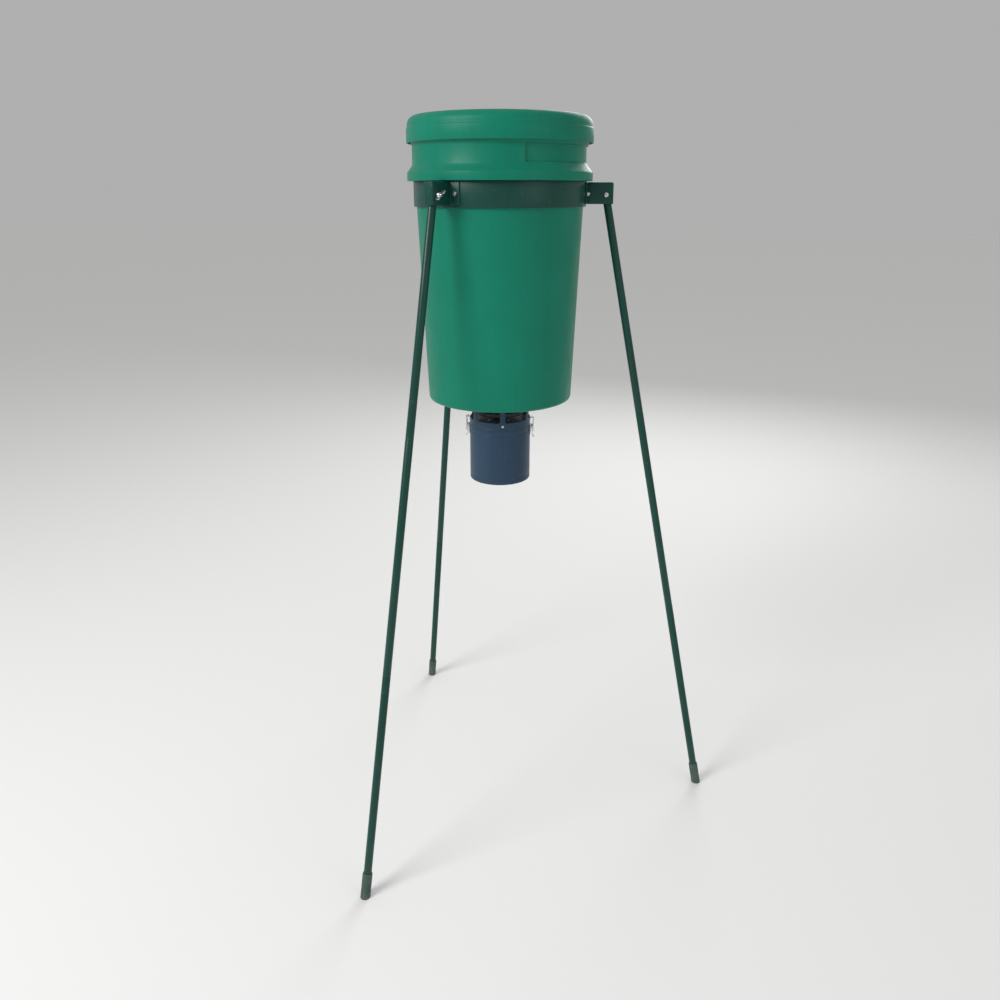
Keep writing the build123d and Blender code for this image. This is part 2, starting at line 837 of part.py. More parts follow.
def make_latch_loop():
    """Closed wire loop: its lower side is the pivot in the lever, its upper side lies at the catch."""
    x = loop_pivot_reach
    half = loop_half_width
    corners = ((x, -half, loop_pivot_z), (x, half, loop_pivot_z), (x, half, loop_top_z), (x, -half, loop_top_z))
    path = FilletPolyline(*corners, radius=loop_bend, close=True)
    start = Plane(origin=path @ 0, z_dir=path % 0)
    return sweep(start * Circle(wire_radius), path)


def make_lower_can():
    """The can with its tray, battery and latches."""
    keep("housing_can", make_can())
    keep("battery_tray", make_tray())
    keep("battery", make_battery())
    keep("battery_terminals", *make_terminals())
    for number, angle in enumerate(latch_angles, 1):
        keep(f"latch_{number}_base", turned(make_latch_base(), angle))
        keep(f"latch_{number}_lever", turned(make_latch_lever(), angle))
        keep(f"latch_{number}_loop", turned(make_latch_loop(), angle))


make_stand()
keep("hopper_pail", make_pail())
keep("hopper_lid", make_lid())
keep("lid_gasket", make_gasket())
make_unit()
make_lower_can()

os.makedirs("parts", exist_ok=True)
for name, shape in parts.items():
    export_step(Pos(stand_x, 0, 0) * shape, f"parts/{name}.step")
print("nodes", len(parts), "axis x", round(stand_x, 4), "splay", round(splay, 4))
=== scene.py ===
import json
from math import asin, atan2, cos, degrees, hypot, pi, radians, sin, sqrt, tan, tau

import bmesh
import bpy
from bpy.props import FloatProperty, FloatVectorProperty, IntProperty, PointerProperty
from mathutils import Matrix, Vector


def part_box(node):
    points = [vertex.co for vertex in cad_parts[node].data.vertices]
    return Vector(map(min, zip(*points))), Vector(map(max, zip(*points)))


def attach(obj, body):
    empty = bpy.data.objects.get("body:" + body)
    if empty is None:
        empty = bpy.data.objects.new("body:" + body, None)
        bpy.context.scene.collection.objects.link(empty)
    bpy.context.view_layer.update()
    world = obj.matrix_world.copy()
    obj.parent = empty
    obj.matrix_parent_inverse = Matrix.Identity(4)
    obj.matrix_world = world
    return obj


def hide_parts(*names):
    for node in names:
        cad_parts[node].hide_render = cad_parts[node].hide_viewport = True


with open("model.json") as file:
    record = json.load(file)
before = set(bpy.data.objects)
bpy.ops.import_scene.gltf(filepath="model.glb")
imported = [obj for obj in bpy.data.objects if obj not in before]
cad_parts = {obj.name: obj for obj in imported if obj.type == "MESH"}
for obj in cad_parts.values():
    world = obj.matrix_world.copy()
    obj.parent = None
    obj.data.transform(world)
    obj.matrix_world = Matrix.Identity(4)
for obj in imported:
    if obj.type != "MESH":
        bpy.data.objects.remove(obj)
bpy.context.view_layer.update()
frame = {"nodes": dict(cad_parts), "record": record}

bl_info = {
    "name": "Spin Cast Feeder",
    "version": (1, 0, 0),
    "blender": (4, 5, 0),
    "location": "View3D > Sidebar > Feeder",
    "description": "Builds a tripod spin cast feeder around its packed frame",
    "category": "Object",
}

# Places read from the frame. The hopper's axis is vertical, at AXIS_X.
MM = 0.001


def low(node):
    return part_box(node)[0]


def high(node):
    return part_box(node)[1]


def middle_of(node):
    return (low(node) + high(node)) / 2


def half_width(node):
    return (high(node).x - low(node).x) / 2


AXIS_X = (low("hopper_pail").x + high("hopper_pail").x) / 2
AXIS = Matrix.Translation((AXIS_X, 0, 0))
GROUND_Z = low("foot_cap_1").z
LEG_ANGLES = (0.0, 120.0, 240.0)
LATCH_ANGLES = (0.0, 180.0)
BUTTONS = (1, 2, 3, 4)


def joint_place(name):
    """Where a joint's axis passes, in the frame."""
    for joint in frame["record"]["behaviour"]["joints"]:
        if joint["name"] == name:
            return Vector(joint["pos_m"])
    raise ValueError(f"no joint {name}")


PIVOT_REACH = joint_place("leg_1_fold").x - AXIS_X
PIVOT_Z = joint_place("leg_1_fold").z


# Settings
def length(name, description, default):
    return FloatProperty(name=name, description=description, default=default, unit="LENGTH", precision=4)


def angle_of(name, description, degrees_default):
    return FloatProperty(
        name=name, description=description, default=radians(degrees_default), subtype="ANGLE"
    )


def colour(name, description, default):
    return FloatVectorProperty(
        name=name, description=description, default=default, size=3, subtype="COLOR", min=0.0, max=1.0
    )


class HopperSettings(bpy.types.PropertyGroup):
    wall: length("Wall", "Thickness of the pail's and lid's walls", 3 * MM)
    recess: length("Recess", "Depth of the shallow panel pressed into the collar", 3 * MM)
    soft_edge: length("Soft edge", "Rounding of the moulded edges", 1.6 * MM)
    lid_corner: length("Lid corner", "Rounding of the lid's upper edge", 18 * MM)
    green: colour("Green", "Colour of the moulded hopper and lid", (0.003, 0.19, 0.118))


class StandSettings(bpy.types.PropertyGroup):
    sheet: length("Sheet", "Thickness of the brackets' steel", 2 * MM)
    tube_radius: length("Tube radius", "Outer radius of the leg tubes", 8 * MM)
    tube_wall: length("Tube wall", "Wall of the leg tubes", 1.5 * MM)
    cap_radius: length("Cap radius", "Outer radius of the rubber feet", 10 * MM)
    reach: length("Reach", "Distance of the feet from the hopper's axis", 472 * MM)
    green: colour("Green", "Powder coat of the hoop and brackets", (0.003, 0.055, 0.041))
    leg_green: colour("Leg green", "Powder coat of the legs", (0.003, 0.050, 0.035))
    rubber: colour("Rubber", "Colour of the feet", (0.035, 0.075, 0.064))


class UnitSettings(bpy.types.PropertyGroup):
    radius: length("Radius", "Outer radius of the shell and the can", 65 * MM)
    sheet: length("Sheet", "Thickness of the shell's steel", 1.5 * MM)
    posts: IntProperty(name="Posts", description="Guard posts between the windows", default=6, min=3, max=12)
    first_post: angle_of("First post", "Direction of the first guard post", 40)
    blue: colour("Blue", "Powder coat of the shell and the can", (0.020, 0.052, 0.096))


class StageSettings(bpy.types.PropertyGroup):
    distance: length("Distance", "Distance from the camera to the hopper's axis", 1.766)
    height: length("Height", "Height of the camera above the ground", 1.365)
    azimuth: angle_of("Azimuth", "Turn round the feeder", 5)
    pitch: angle_of("Pitch", "Tilt below level", 15.8)
    lens: FloatProperty(name="Lens", description="Focal length in millimetres", default=30.4)
    lift: FloatProperty(name="Lift", description="Vertical shift of the picture", default=-0.07)
    floor: colour("Floor", "Colour of the floor", (0.90, 0.90, 0.89))
    daylight: FloatProperty(name="Daylight", description="Strength of the even studio light", default=0.48)


# Materials: shared effects as node groups
def new_group(name, inputs, outputs):
    """Empty shader node group with named value inputs and its outputs."""
    group = bpy.data.node_groups.new(name, "ShaderNodeTree")
    for label, default in inputs:
        socket = group.interface.new_socket(name=label, in_out="INPUT", socket_type="NodeSocketFloat")
        socket.default_value = default
    for label in outputs:
        group.interface.new_socket(name=label, in_out="OUTPUT", socket_type="NodeSocketFloat")
    return group, group.nodes.new("NodeGroupInput"), group.nodes.new("NodeGroupOutput")


def noise(tree, scale, detail=4.0, stretch=(1, 1, 1), roughness=0.55, turn=(0, 0, 0)):
    """Noise on object coordinates. scale may be a number or a socket."""
    place = tree.nodes.new("ShaderNodeTexCoord")
    mapping = tree.nodes.new("ShaderNodeMapping")
    mapping.inputs["Rotation"].default_value = turn
    mapping.inputs["Scale"].default_value = stretch
    texture = tree.nodes.new("ShaderNodeTexNoise")
    texture.inputs["Detail"].default_value = detail
    texture.inputs["Roughness"].default_value = roughness
    tree.links.new(place.outputs["Object"], mapping.inputs["Vector"])
    tree.links.new(mapping.outputs["Vector"], texture.inputs["Vector"])
    if isinstance(scale, (int, float)):
        texture.inputs["Scale"].default_value = scale
    else:
        tree.links.new(scale, texture.inputs["Scale"])
    return texture.outputs["Fac"]


def maths(tree, operation, first, second=None, clamp=False):
    node = tree.nodes.new("ShaderNodeMath")
    node.operation = operation
    node.use_clamp = clamp
    for index, value in enumerate((first, second)):
        if value is None:
            continue
        if isinstance(value, (int, float)):
            node.inputs[index].default_value = value
        else:
            tree.links.new(value, node.inputs[index])
    return node.outputs[0]


def spread(tree, value, from_low, from_high, to_low=0.0, to_high=1.0):
    node = tree.nodes.new("ShaderNodeMapRange")
    limits = {"From Min": from_low, "From Max": from_high, "To Min": to_low, "To Max": to_high}
    for label, number in limits.items():
        if isinstance(number, (int, float)):
            node.inputs[label].default_value = number
        else:
            tree.links.new(number, node.inputs[label])
    tree.links.new(value, node.inputs["Value"])
    return node.outputs["Result"]


def surface_grain():
    """Fine height for bump, and slow tone and gloss variation over the surface."""
    name = "surface grain"
    if name in bpy.data.node_groups:
        return bpy.data.node_groups[name]
    group, given, result = new_group(
        name, (("Fine Scale", 900.0), ("Broad Scale", 9.0), ("Streak", 0.4)), ("Height", "Tone", "Gloss")
    )
    fine = noise(group, given.outputs["Fine Scale"], 3.0)
    broad = noise(group, given.outputs["Broad Scale"], 5.0)
    streaks = noise(group, 14.0, 5.0, (6.0, 6.0, 0.5))
    group.links.new(fine, result.inputs["Height"])
    streak = maths(group, "MULTIPLY", maths(group, "SUBTRACT", streaks, 0.5), given.outputs["Streak"])
    tone = maths(group, "ADD", broad, streak)
    group.links.new(spread(group, tone, 0.28, 0.72), result.inputs["Tone"])
    smudge = noise(group, 31.0, 6.0, (1.0, 1.0, 0.6), 0.62)
    group.links.new(spread(group, smudge, 0.3, 0.7), result.inputs["Gloss"])
    return group


def edge_wear():
    """Mask of worn outer edges, broken up so that no edge is worn evenly."""
    name = "edge wear"
    if name in bpy.data.node_groups:
        return bpy.data.node_groups[name]
    group, given, result = new_group(name, (("Reach", 0.0015), ("Amount", 0.5)), ("Mask",))
    bevel = group.nodes.new("ShaderNodeBevel")
    bevel.samples = 6
    group.links.new(given.outputs["Reach"], bevel.inputs["Radius"])
    geometry = group.nodes.new("ShaderNodeNewGeometry")
    dot = group.nodes.new("ShaderNodeVectorMath")
    dot.operation = "DOT_PRODUCT"
    group.links.new(bevel.outputs["Normal"], dot.inputs[0])
    group.links.new(geometry.outputs["Normal"], dot.inputs[1])
    edge = spread(group, maths(group, "SUBTRACT", 1.0, dot.outputs["Value"]), 0.02, 0.22)
    broken = spread(group, noise(group, 160.0, 6.0, (1, 1, 1), 0.7), 0.42, 0.62)
    worn = maths(group, "MULTIPLY", maths(group, "MULTIPLY", edge, broken), given.outputs["Amount"], True)
    group.links.new(worn, result.inputs["Mask"])
    return group


def fine_scratches():
    """Thin crossing scratches, as a mask."""
    name = "fine scratches"
    if name in bpy.data.node_groups:
        return bpy.data.node_groups[name]
    group, given, result = new_group(name, (("Amount", 0.4),), ("Mask",))
    total = None
    for stretch, turn in (((90, 5, 5), 0.4), ((5, 80, 8), 1.3), ((6, 7, 85), 2.2)):
        lines = noise(group, 4.0, 6.0, stretch, 0.5, (turn, turn * 0.7, turn * 1.9))
        line = spread(group, lines, 0.67, 0.74)
        total = line if total is None else maths(group, "MAXIMUM", total, line)
    group.links.new(maths(group, "MULTIPLY", total, given.outputs["Amount"], True), result.inputs["Mask"])
    return group


def settled_dust():
    """Mask of dust on upward faces and of grime that thins out with height above the ground."""
    name = "settled dust"
    if name in bpy.data.node_groups:
        return bpy.data.node_groups[name]
    group, given, result = new_group(name, (("Amount", 0.3), ("Grime Height", 0.12)), ("Mask",))
    geometry = group.nodes.new("ShaderNodeNewGeometry")
    split = group.nodes.new("ShaderNodeSeparateXYZ")
    group.links.new(geometry.outputs["Normal"], split.inputs["Vector"])
    facing = spread(group, split.outputs["Z"], 0.55, 1.3)
    place = group.nodes.new("ShaderNodeTexCoord")
    height = group.nodes.new("ShaderNodeSeparateXYZ")
    group.links.new(place.outputs["Object"], height.inputs["Vector"])
    grime = spread(group, height.outputs["Z"], 0.0, given.outputs["Grime Height"], 1.0, 0.0)
    patchy = spread(group, noise(group, 22.0, 8.0, (1, 1, 1), 0.68), 0.35, 0.75)
    covered = maths(group, "MULTIPLY", maths(group, "MAXIMUM", facing, grime), patchy)
    group.links.new(maths(group, "MULTIPLY", covered, given.outputs["Amount"], True), result.inputs["Mask"])
    return group


def placed(tree, group, **values):
    node = tree.nodes.new("ShaderNodeGroup")
    node.node_tree = group
    for label, value in values.items():
        node.inputs[label.replace("_", " ").title()].default_value = value
    return node


def mixed(tree, mask, first, second):
    """Colour mix by a mask. first and second are colours or sockets."""
    node = tree.nodes.new("ShaderNodeMix")
    node.data_type = "RGBA"
    for socket, value in ((node.inputs[6], first), (node.inputs[7], second)):
        if isinstance(value, tuple):
            socket.default_value = (*value[:3], 1.0)
        else:
            tree.links.new(value, socket)
    tree.links.new(mask, node.inputs[0])
    return node.outputs[2]


def scaled(rgb, factor):
    return tuple(min(1.0, channel * factor) for channel in rgb)


def toward(rgb, other, share):
    return tuple(a + (b - a) * share for a, b in zip(rgb, other))


DUST = (0.34, 0.30, 0.24)


def finish_material(
    name,
    rgb,
    roughness,
    metallic=0.0,
    variation=0.12,
    worn=None,
    wear=0.4,
    reach=0.0015,
    scratches=0.25,
    dust=0.12,
    fine_scale=900.0,
    bump=0.08,
    streak=0.4,
    coat=0.0,
    specular=0.5,
):
    """One surface finish: colour variation, worn edges, scratches, dust, uneven gloss and a fine bump."""
    material = bpy.data.materials.new(name)
    material.use_nodes = True
    tree = material.node_tree
    tree.nodes.clear()
    output = tree.nodes.new("ShaderNodeOutputMaterial")
    shader = tree.nodes.new("ShaderNodeBsdfPrincipled")
    tree.links.new(shader.outputs["BSDF"], output.inputs["Surface"])
    shader.inputs["Metallic"].default_value = metallic
    shader.inputs["Coat Weight"].default_value = coat
    shader.inputs["Specular IOR Level"].default_value = specular
    shader.inputs["Coat Roughness"].default_value = 0.25
    grain = placed(tree, surface_grain(), fine_scale=fine_scale, streak=streak)
    edges = placed(tree, edge_wear(), reach=reach, amount=wear)
    marks = placed(tree, fine_scratches(), amount=scratches)
    dirt = placed(tree, settled_dust(), amount=dust)
    base = mixed(tree, grain.outputs["Tone"], scaled(rgb, 1 - variation), scaled(rgb, 1 + variation))
    base = mixed(tree, marks.outputs["Mask"], base, toward(rgb, (0.75, 0.76, 0.75), 0.18))
    base = mixed(tree, edges.outputs["Mask"], base, worn or toward(rgb, (0.8, 0.8, 0.8), 0.3))
    base = mixed(tree, dirt.outputs["Mask"], base, DUST)
    tree.links.new(base, shader.inputs["Base Color"])
    gloss = spread(tree, grain.outputs["Gloss"], 0.0, 1.0, roughness * 0.82, min(1.0, roughness * 1.18))
    rough = maths(tree, "ADD", gloss, maths(tree, "MULTIPLY", dirt.outputs["Mask"], 0.3), True)
    rough = maths(tree, "ADD", rough, maths(tree, "MULTIPLY", marks.outputs["Mask"], 0.12), True)
    tree.links.new(rough, shader.inputs["Roughness"])
    groove = maths(tree, "MULTIPLY", marks.outputs["Mask"], 0.4)
    height = maths(tree, "SUBTRACT", grain.outputs["Height"], groove)
    bumped = tree.nodes.new("ShaderNodeBump")
    bumped.inputs["Strength"].default_value = bump
    bumped.inputs["Distance"].default_value = 0.0004
    tree.links.new(height, bumped.inputs["Height"])
    tree.links.new(bumped.outputs["Normal"], shader.inputs["Normal"])
    return material


STEEL = (0.52, 0.53, 0.54)


def finish_for(slot):
    """The finish of one of the record's material slots, built the first time that it is asked for."""
    label = slot.replace("_", " ") + " finish"
    if label in bpy.data.materials:
        return bpy.data.materials[label]
    scene = bpy.context.scene
    hopper = tuple(scene.feeder_hopper.green)
    stand = tuple(scene.feeder_stand.green)
    leg = tuple(scene.feeder_stand.leg_green)
    rubber = tuple(scene.feeder_stand.rubber)
    blue = tuple(scene.feeder_unit.blue)
    moulded = dict(rgb=hopper, specular=0.18)
    powder = dict(worn=STEEL, fine_scale=620.0, coat=0.06, specular=0.28)
    settings = {
        "hopper_green": dict(
            moulded, roughness=0.4, variation=0.07, wear=0.25, dust=0.05, bump=0.1, scratches=0.07
        ),
        "lid_green": dict(
            moulded, roughness=0.42, variation=0.08, wear=0.3, dust=0.08, bump=0.12, scratches=0.09
        ),
        "stand_green": dict(powder, rgb=stand, roughness=0.36, wear=0.22, scratches=0.18, bump=0.22),
        "leg_green": dict(powder, rgb=leg, roughness=0.34, wear=0.2, scratches=0.2, bump=0.2),
        "unit_blue": dict(
            powder, rgb=blue, roughness=0.38, wear=0.22, bump=0.2, scratches=0.12,
            fine_scale=560.0, coat=0.0, specular=0.3,
        ),
        "slinger_coat": dict(
            rgb=(0.02, 0.021, 0.023), roughness=0.55, worn=STEEL, bump=0.3, fine_scale=520.0
        ),
        "bright_steel": dict(rgb=(0.56, 0.57, 0.58), roughness=0.32, metallic=1.0, variation=0.16, bump=0.12),
        "wire_steel": dict(rgb=(0.74, 0.75, 0.76), roughness=0.2, metallic=1.0, variation=0.1, bump=0.06),
        "motor_steel": dict(rgb=(0.42, 0.43, 0.44), roughness=0.3, metallic=1.0, variation=0.15, streak=1.2),
        "hub_brass": dict(rgb=(0.62, 0.44, 0.17), roughness=0.28, metallic=1.0, variation=0.14, bump=0.1),
        "foot_rubber": dict(rgb=rubber, roughness=0.72, wear=0.3, dust=0.5, bump=0.3, fine_scale=760.0),
        "seal_rubber": dict(rgb=(0.016, 0.016, 0.017), roughness=0.85, wear=0.15, bump=0.5, fine_scale=420.0),
        "black_plastic": dict(
            rgb=(0.014, 0.014, 0.015), roughness=0.5, wear=0.3, bump=0.35, fine_scale=520.0
        ),
        "panel_plastic": dict(rgb=(0.085, 0.09, 0.095), roughness=0.48, wear=0.3, bump=0.2),
        "display": dict(rgb=(0.26, 0.31, 0.23), roughness=0.12, wear=0.0, scratches=0.1, bump=0.01, coat=0.6),
        "board": dict(rgb=(0.008, 0.10, 0.035), roughness=0.3, wear=0.1, bump=0.1, coat=0.3),
        "button_rubber": dict(rgb=(0.27, 0.28, 0.29), roughness=0.62, wear=0.25, bump=0.2),
        "battery_case": dict(
            rgb=(0.022, 0.022, 0.025), roughness=0.42, wear=0.3, bump=0.25, fine_scale=500.0
        ),
        "tray_plastic": dict(rgb=(0.03, 0.03, 0.031), roughness=0.55, wear=0.25, bump=0.3, fine_scale=480.0),
    }
    return finish_material(label, **settings[slot])


# Modelling helpers on bmesh operators
def arc(middle_r, middle_z, radius, turns):
    """Outline points round a middle, one at each turn in degrees."""
    turns = [radians(turn) for turn in turns]
    return [(middle_r + radius * cos(turn), middle_z + radius * sin(turn)) for turn in turns]


def new_verts(result):
    return [item for item in result["geom"] if isinstance(item, bmesh.types.BMVert)]


def everything(bm):
    return bm.verts[:] + bm.edges[:] + bm.faces[:]


def cut_away(bm, point, outward):
    """Cuts off what lies beyond a plane and closes the cut."""
    cut = bmesh.ops.bisect_plane(
        bm, geom=everything(bm), plane_co=point, plane_no=outward, clear_outer=True
    )
    rim = [item for item in cut["geom_cut"] if isinstance(item, bmesh.types.BMEdge)]
    bmesh.ops.holes_fill(bm, edges=rim, sides=0)
    bmesh.ops.recalc_face_normals(bm, faces=bm.faces)


def sharp_edges(bm, angle):
    """Edges where two faces meet at more than an angle in degrees."""
    angle = radians(angle)
    return [edge for edge in bm.edges if len(edge.link_faces) == 2 and edge.calc_face_angle(0.0) > angle]


def crossing(bm, least):
    """Edges that run along Y by more than a length."""
    return [edge for edge in bm.edges if abs(edge.verts[0].co.y - edge.verts[1].co.y) > least]


def soften(bm, edges, width, segments=3):
    if edges:
        bmesh.ops.bevel(
            bm,
            geom=edges,
            offset=width,
            segments=segments,
            profile=0.5,
            affect="EDGES",
            clamp_overlap=True,
            material=-1,
        )


def add_lathe(bm, outline, steps=96, soft=0.0, segments=3, matrix=AXIS):
    """Full turn about Z of a closed outline of (radius, height) corners, its sharp rings rounded by soft."""
    part = bmesh.new()
    verts = [part.verts.new((r, 0, z)) for r, z in outline]
    edges = [part.edges.new((a, b)) for a, b in zip(verts, verts[1:] + verts[:1])]
    bmesh.ops.spin(
        part, geom=verts + edges, cent=(0, 0, 0), axis=(0, 0, 1), angle=tau, steps=steps, use_merge=True
    )
    bmesh.ops.remove_doubles(part, verts=part.verts, dist=1e-6)
    bmesh.ops.dissolve_degenerate(part, dist=1e-7, edges=part.edges)
    along_axis = [edge for edge in part.edges if edge.is_wire]
    bmesh.ops.delete(part, geom=along_axis, context="EDGES")
    bmesh.ops.recalc_face_normals(part, faces=part.faces)
    if soft > 0:
        soften(part, sharp_edges(part, 18), soft, segments)
    take_in(bm, part, matrix)


def take_in(bm, part, matrix=None):
    """Adds a finished part to a mesh, turned and moved by matrix."""
    if matrix is not None:
        bmesh.ops.transform(part, matrix=matrix, verts=part.verts)
    mesh = bpy.data.meshes.new("part")
    part.to_mesh(mesh)
    part.free()
    bm.from_mesh(mesh)
    bpy.data.meshes.remove(mesh)


def box_part(corner_low, corner_high):
    """Plain box between two corners, as a part of its own."""
    part = bmesh.new()
    bmesh.ops.create_cube(part, size=1.0)
    size = [b - a for a, b in zip(corner_low, corner_high)]
    middle = [(a + b) / 2 for a, b in zip(corner_low, corner_high)]
    bmesh.ops.scale(part, vec=size, verts=part.verts)
    bmesh.ops.translate(part, vec=middle, verts=part.verts)
    return part


def add_block(bm, corner_low, corner_high, soft=0.0, segments=2, matrix=None):
    """Box between two corners with rounded edges."""
    part = box_part(corner_low, corner_high)
    if soft > 0:
        soften(part, list(part.edges), soft, segments)
    take_in(bm, part, matrix)


def add_pin(bm, middle, half, radius, steps, matrix):
    """Round pin along Y about a middle, half its length to each side, its end edges rounded."""
    part = bmesh.new()
    bmesh.ops.create_cone(
        part, cap_ends=True, segments=steps, radius1=radius, radius2=radius, depth=2 * half
    )
    soften(part, sharp_edges(part, 60), 0.3 * MM)
    along_y = Vector((0, 1, 0)).to_track_quat("Z", "Y").to_matrix().to_4x4()
    take_in(bm, part, matrix @ Matrix.Translation((middle.x, 0, middle.z)) @ along_y)


def add_strip(bm, points, half, thickness, bend, matrix):
    """Bent sheet strip along (x, z) points, twice half wide in Y, with rounded bends and edges."""
    part = bmesh.new()
    row = [part.verts.new((x, -half, z)) for x, z in points]
    line = [part.edges.new(pair) for pair in zip(row, row[1:])]
    drawn = bmesh.ops.extrude_edge_only(part, edges=line)
    bmesh.ops.translate(part, vec=(0, 2 * half, 0), verts=new_verts(drawn))
    folds = [edge for edge in part.edges if len(edge.link_faces) == 2]
    soften(part, folds, bend, 4)
    bmesh.ops.recalc_face_normals(part, faces=part.faces)
    bmesh.ops.solidify(part, geom=list(part.faces), thickness=thickness)
    bmesh.ops.recalc_face_normals(part, faces=part.faces)
    soften(part, sharp_edges(part, 60), thickness * 0.25, 2)
    take_in(bm, part, matrix)


def threaded(radius, start, end, pitch=0.8 * MM):
    """Outline points of a threaded rod's side, from one height up to another, as a row of ridges."""
    root = radius * 0.87
    points = []
    for index in range(max(1, int((end - start) / pitch))):
        z = start + index * pitch
        points += [(root, z), (radius, z + pitch / 2)]
    return points + [(root, end)]


def add_screw(bm, radius, height, depth, matrix):
    """Screw with a domed, slotted head on z = 0 and a threaded shank below it."""
    half_slot = 0.14 * radius
    turns = [radians(turn) for turn in range(0, 90, 15)]
    dome = [(radius * cos(turn), height * (0.25 + 0.75 * sin(turn))) for turn in turns]
    for side in (-1, 1):
        part = bmesh.new()
        add_lathe(part, [(0, 0), (radius, 0)] + dome + [(0, height)], steps=28, matrix=None)
        cut_away(part, (0, side * half_slot, 0), (0, -side, 0))
        take_in(bm, part, matrix)
    core = radius * 0.9
    floor = height * 0.4
    add_lathe(bm, [(0, 0), (core, 0), (core, floor), (0, floor)], 28, matrix=matrix)
    shank = [(0, -depth), (1.3 * MM, -depth)] + threaded(1.5 * MM, 0.3 * MM - depth, 0) + [(0, 0)]
    add_lathe(bm, shank, 20, matrix=matrix)


def add_hexagon(bm, across, start, end, bore, matrix):
    """Hexagon nut between two heights, its corners chamfered at both ends, with a round bore."""
    part = bmesh.new()
    corner = across / 2 / cos(radians(30))
    flat_radius = across * 0.46
    chamfer_slope = 0.448
    bmesh.ops.create_cone(
        part, cap_ends=False, segments=6, radius1=corner, radius2=corner, depth=end - start
    )
    bmesh.ops.translate(part, vec=(0, 0, (start + end) / 2), verts=part.verts)
    rims = [edge for edge in part.edges if edge.is_boundary]
    bmesh.ops.subdivide_edges(part, edges=rims, cuts=5, use_grid_fill=False)
    for level, inward in ((end, -chamfer_slope), (start, chamfer_slope)):
        rims = [edge for edge in part.edges if edge.is_boundary]
        rim = [edge for edge in rims if abs(edge.verts[0].co.z - level) < 1e-6]
        corners = {vert for edge in rim for vert in edge.verts}
        flats = new_verts(bmesh.ops.extrude_edge_only(part, edges=rim))
        for vert in flats:
            vert.co.xy = vert.co.xy.normalized() * flat_radius
        for vert in corners:
            vert.co.z += inward * (vert.co.xy.length - across / 2)
        rim = [edge for edge in part.edges if edge.is_boundary and edge.verts[0] in flats]
        for vert in new_verts(bmesh.ops.extrude_edge_only(part, edges=rim)):
            vert.co.xy = vert.co.xy.normalized() * bore
    bmesh.ops.bridge_loops(part, edges=[edge for edge in part.edges if edge.is_boundary])
    bmesh.ops.recalc_face_normals(part, faces=part.faces)
    take_in(bm, part, matrix)


def turned(angle):
    """Turn about the hopper's axis by an angle in degrees, of a shape drawn about that axis."""
    return AXIS @ Matrix.Rotation(radians(angle), 4, "Z")


def facing_out(angle, x, y, z):
    """Place at a point drawn about the hopper's axis and then turned, with Z away from that axis."""
    return turned(angle) @ Matrix.Translation((x, y, z)) @ Matrix.Rotation(pi / 2, 4, "Y")


def in_order(*builders, angles):
    """Runs builders for each of the places round the axis, with its number and its angle."""
    for number, angle in enumerate(angles, 1):
        for build in builders:
            build(number, angle)


def new_object(name, data):
    item = bpy.data.objects.new(name, data)
    bpy.context.collection.objects.link(item)
    return item


def make_piece(name, bm, slot, body, *nodes, smooth=35.0):
    """Turns a bmesh into a finished piece that rides on a body and stands for CAD nodes."""
    mesh = bpy.data.meshes.new(name)
    bm.to_mesh(mesh)
    bm.free()
    mesh.shade_smooth()
    mesh.set_sharp_from_angle(angle=radians(smooth))
    piece = new_object(name, mesh)
    mesh.materials.append(finish_for(slot))
    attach(piece, body)
    if nodes:
        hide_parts(*nodes)
    return piece


# Hopper
# The pail's section in millimetres, from its floor's middle up the outside and down the inside.
PAIL_OUTLINE = (
    (22.3, 941), (72, 941), (73, 942.2), (79, 942.2), (80, 941),
    (118, 941), (119, 942.2), (131, 942.2), (132, 941), (144, 941),
    (148.6, 943.2), (150.6, 947.5), (169.3, 1384), (185, 1384), (185, 1400),
    (181.5, 1404), (175.6, 1412.5), (174.5, 1416), (174.5, 1450), (175.6, 1453),
    (178, 1457.5), (178, 1490), (175, 1490), (175, 1457), (168.5, 1449),
    (168.5, 1415), (166.3, 1384), (147.6, 949), (143.6, 945), (22.3, 945),
)
# The collar's shallow panel: how far from the axis, how high and between which directions.
RECESS_REACH = (0.1735, 0.176)
RECESS_HEIGHT = (1.418, 1.449)
RECESS_TURN = (radians(-70), radians(35))


def in_recess(face):
    """True for a face of the collar's outer wall inside the shallow panel."""
    middle = face.calc_center_median()
    tests = (
        (hypot(middle.x, middle.y), RECESS_REACH),
        (middle.z, RECESS_HEIGHT),
        (atan2(middle.y, middle.x), RECESS_TURN),
    )
    return all(least < value < most for value, (least, most) in tests)


def build_pail():
    settings = bpy.context.scene.feeder_hopper
    part = bmesh.new()
    outline = [(r * MM, z * MM) for r, z in PAIL_OUTLINE]
    add_lathe(part, outline, steps=144, soft=settings.soft_edge, matrix=None)
    panel = [face for face in part.faces if in_recess(face)]
    if not panel:
        raise RuntimeError("the collar has no panel faces")
    bmesh.ops.inset_region(
        part, faces=panel, thickness=1.2 * MM, depth=-settings.recess, use_even_offset=True, use_boundary=True
    )
    bm = bmesh.new()
    take_in(bm, part, AXIS)
    return make_piece("pail", bm, "hopper_green", "hopper", "hopper_pail")


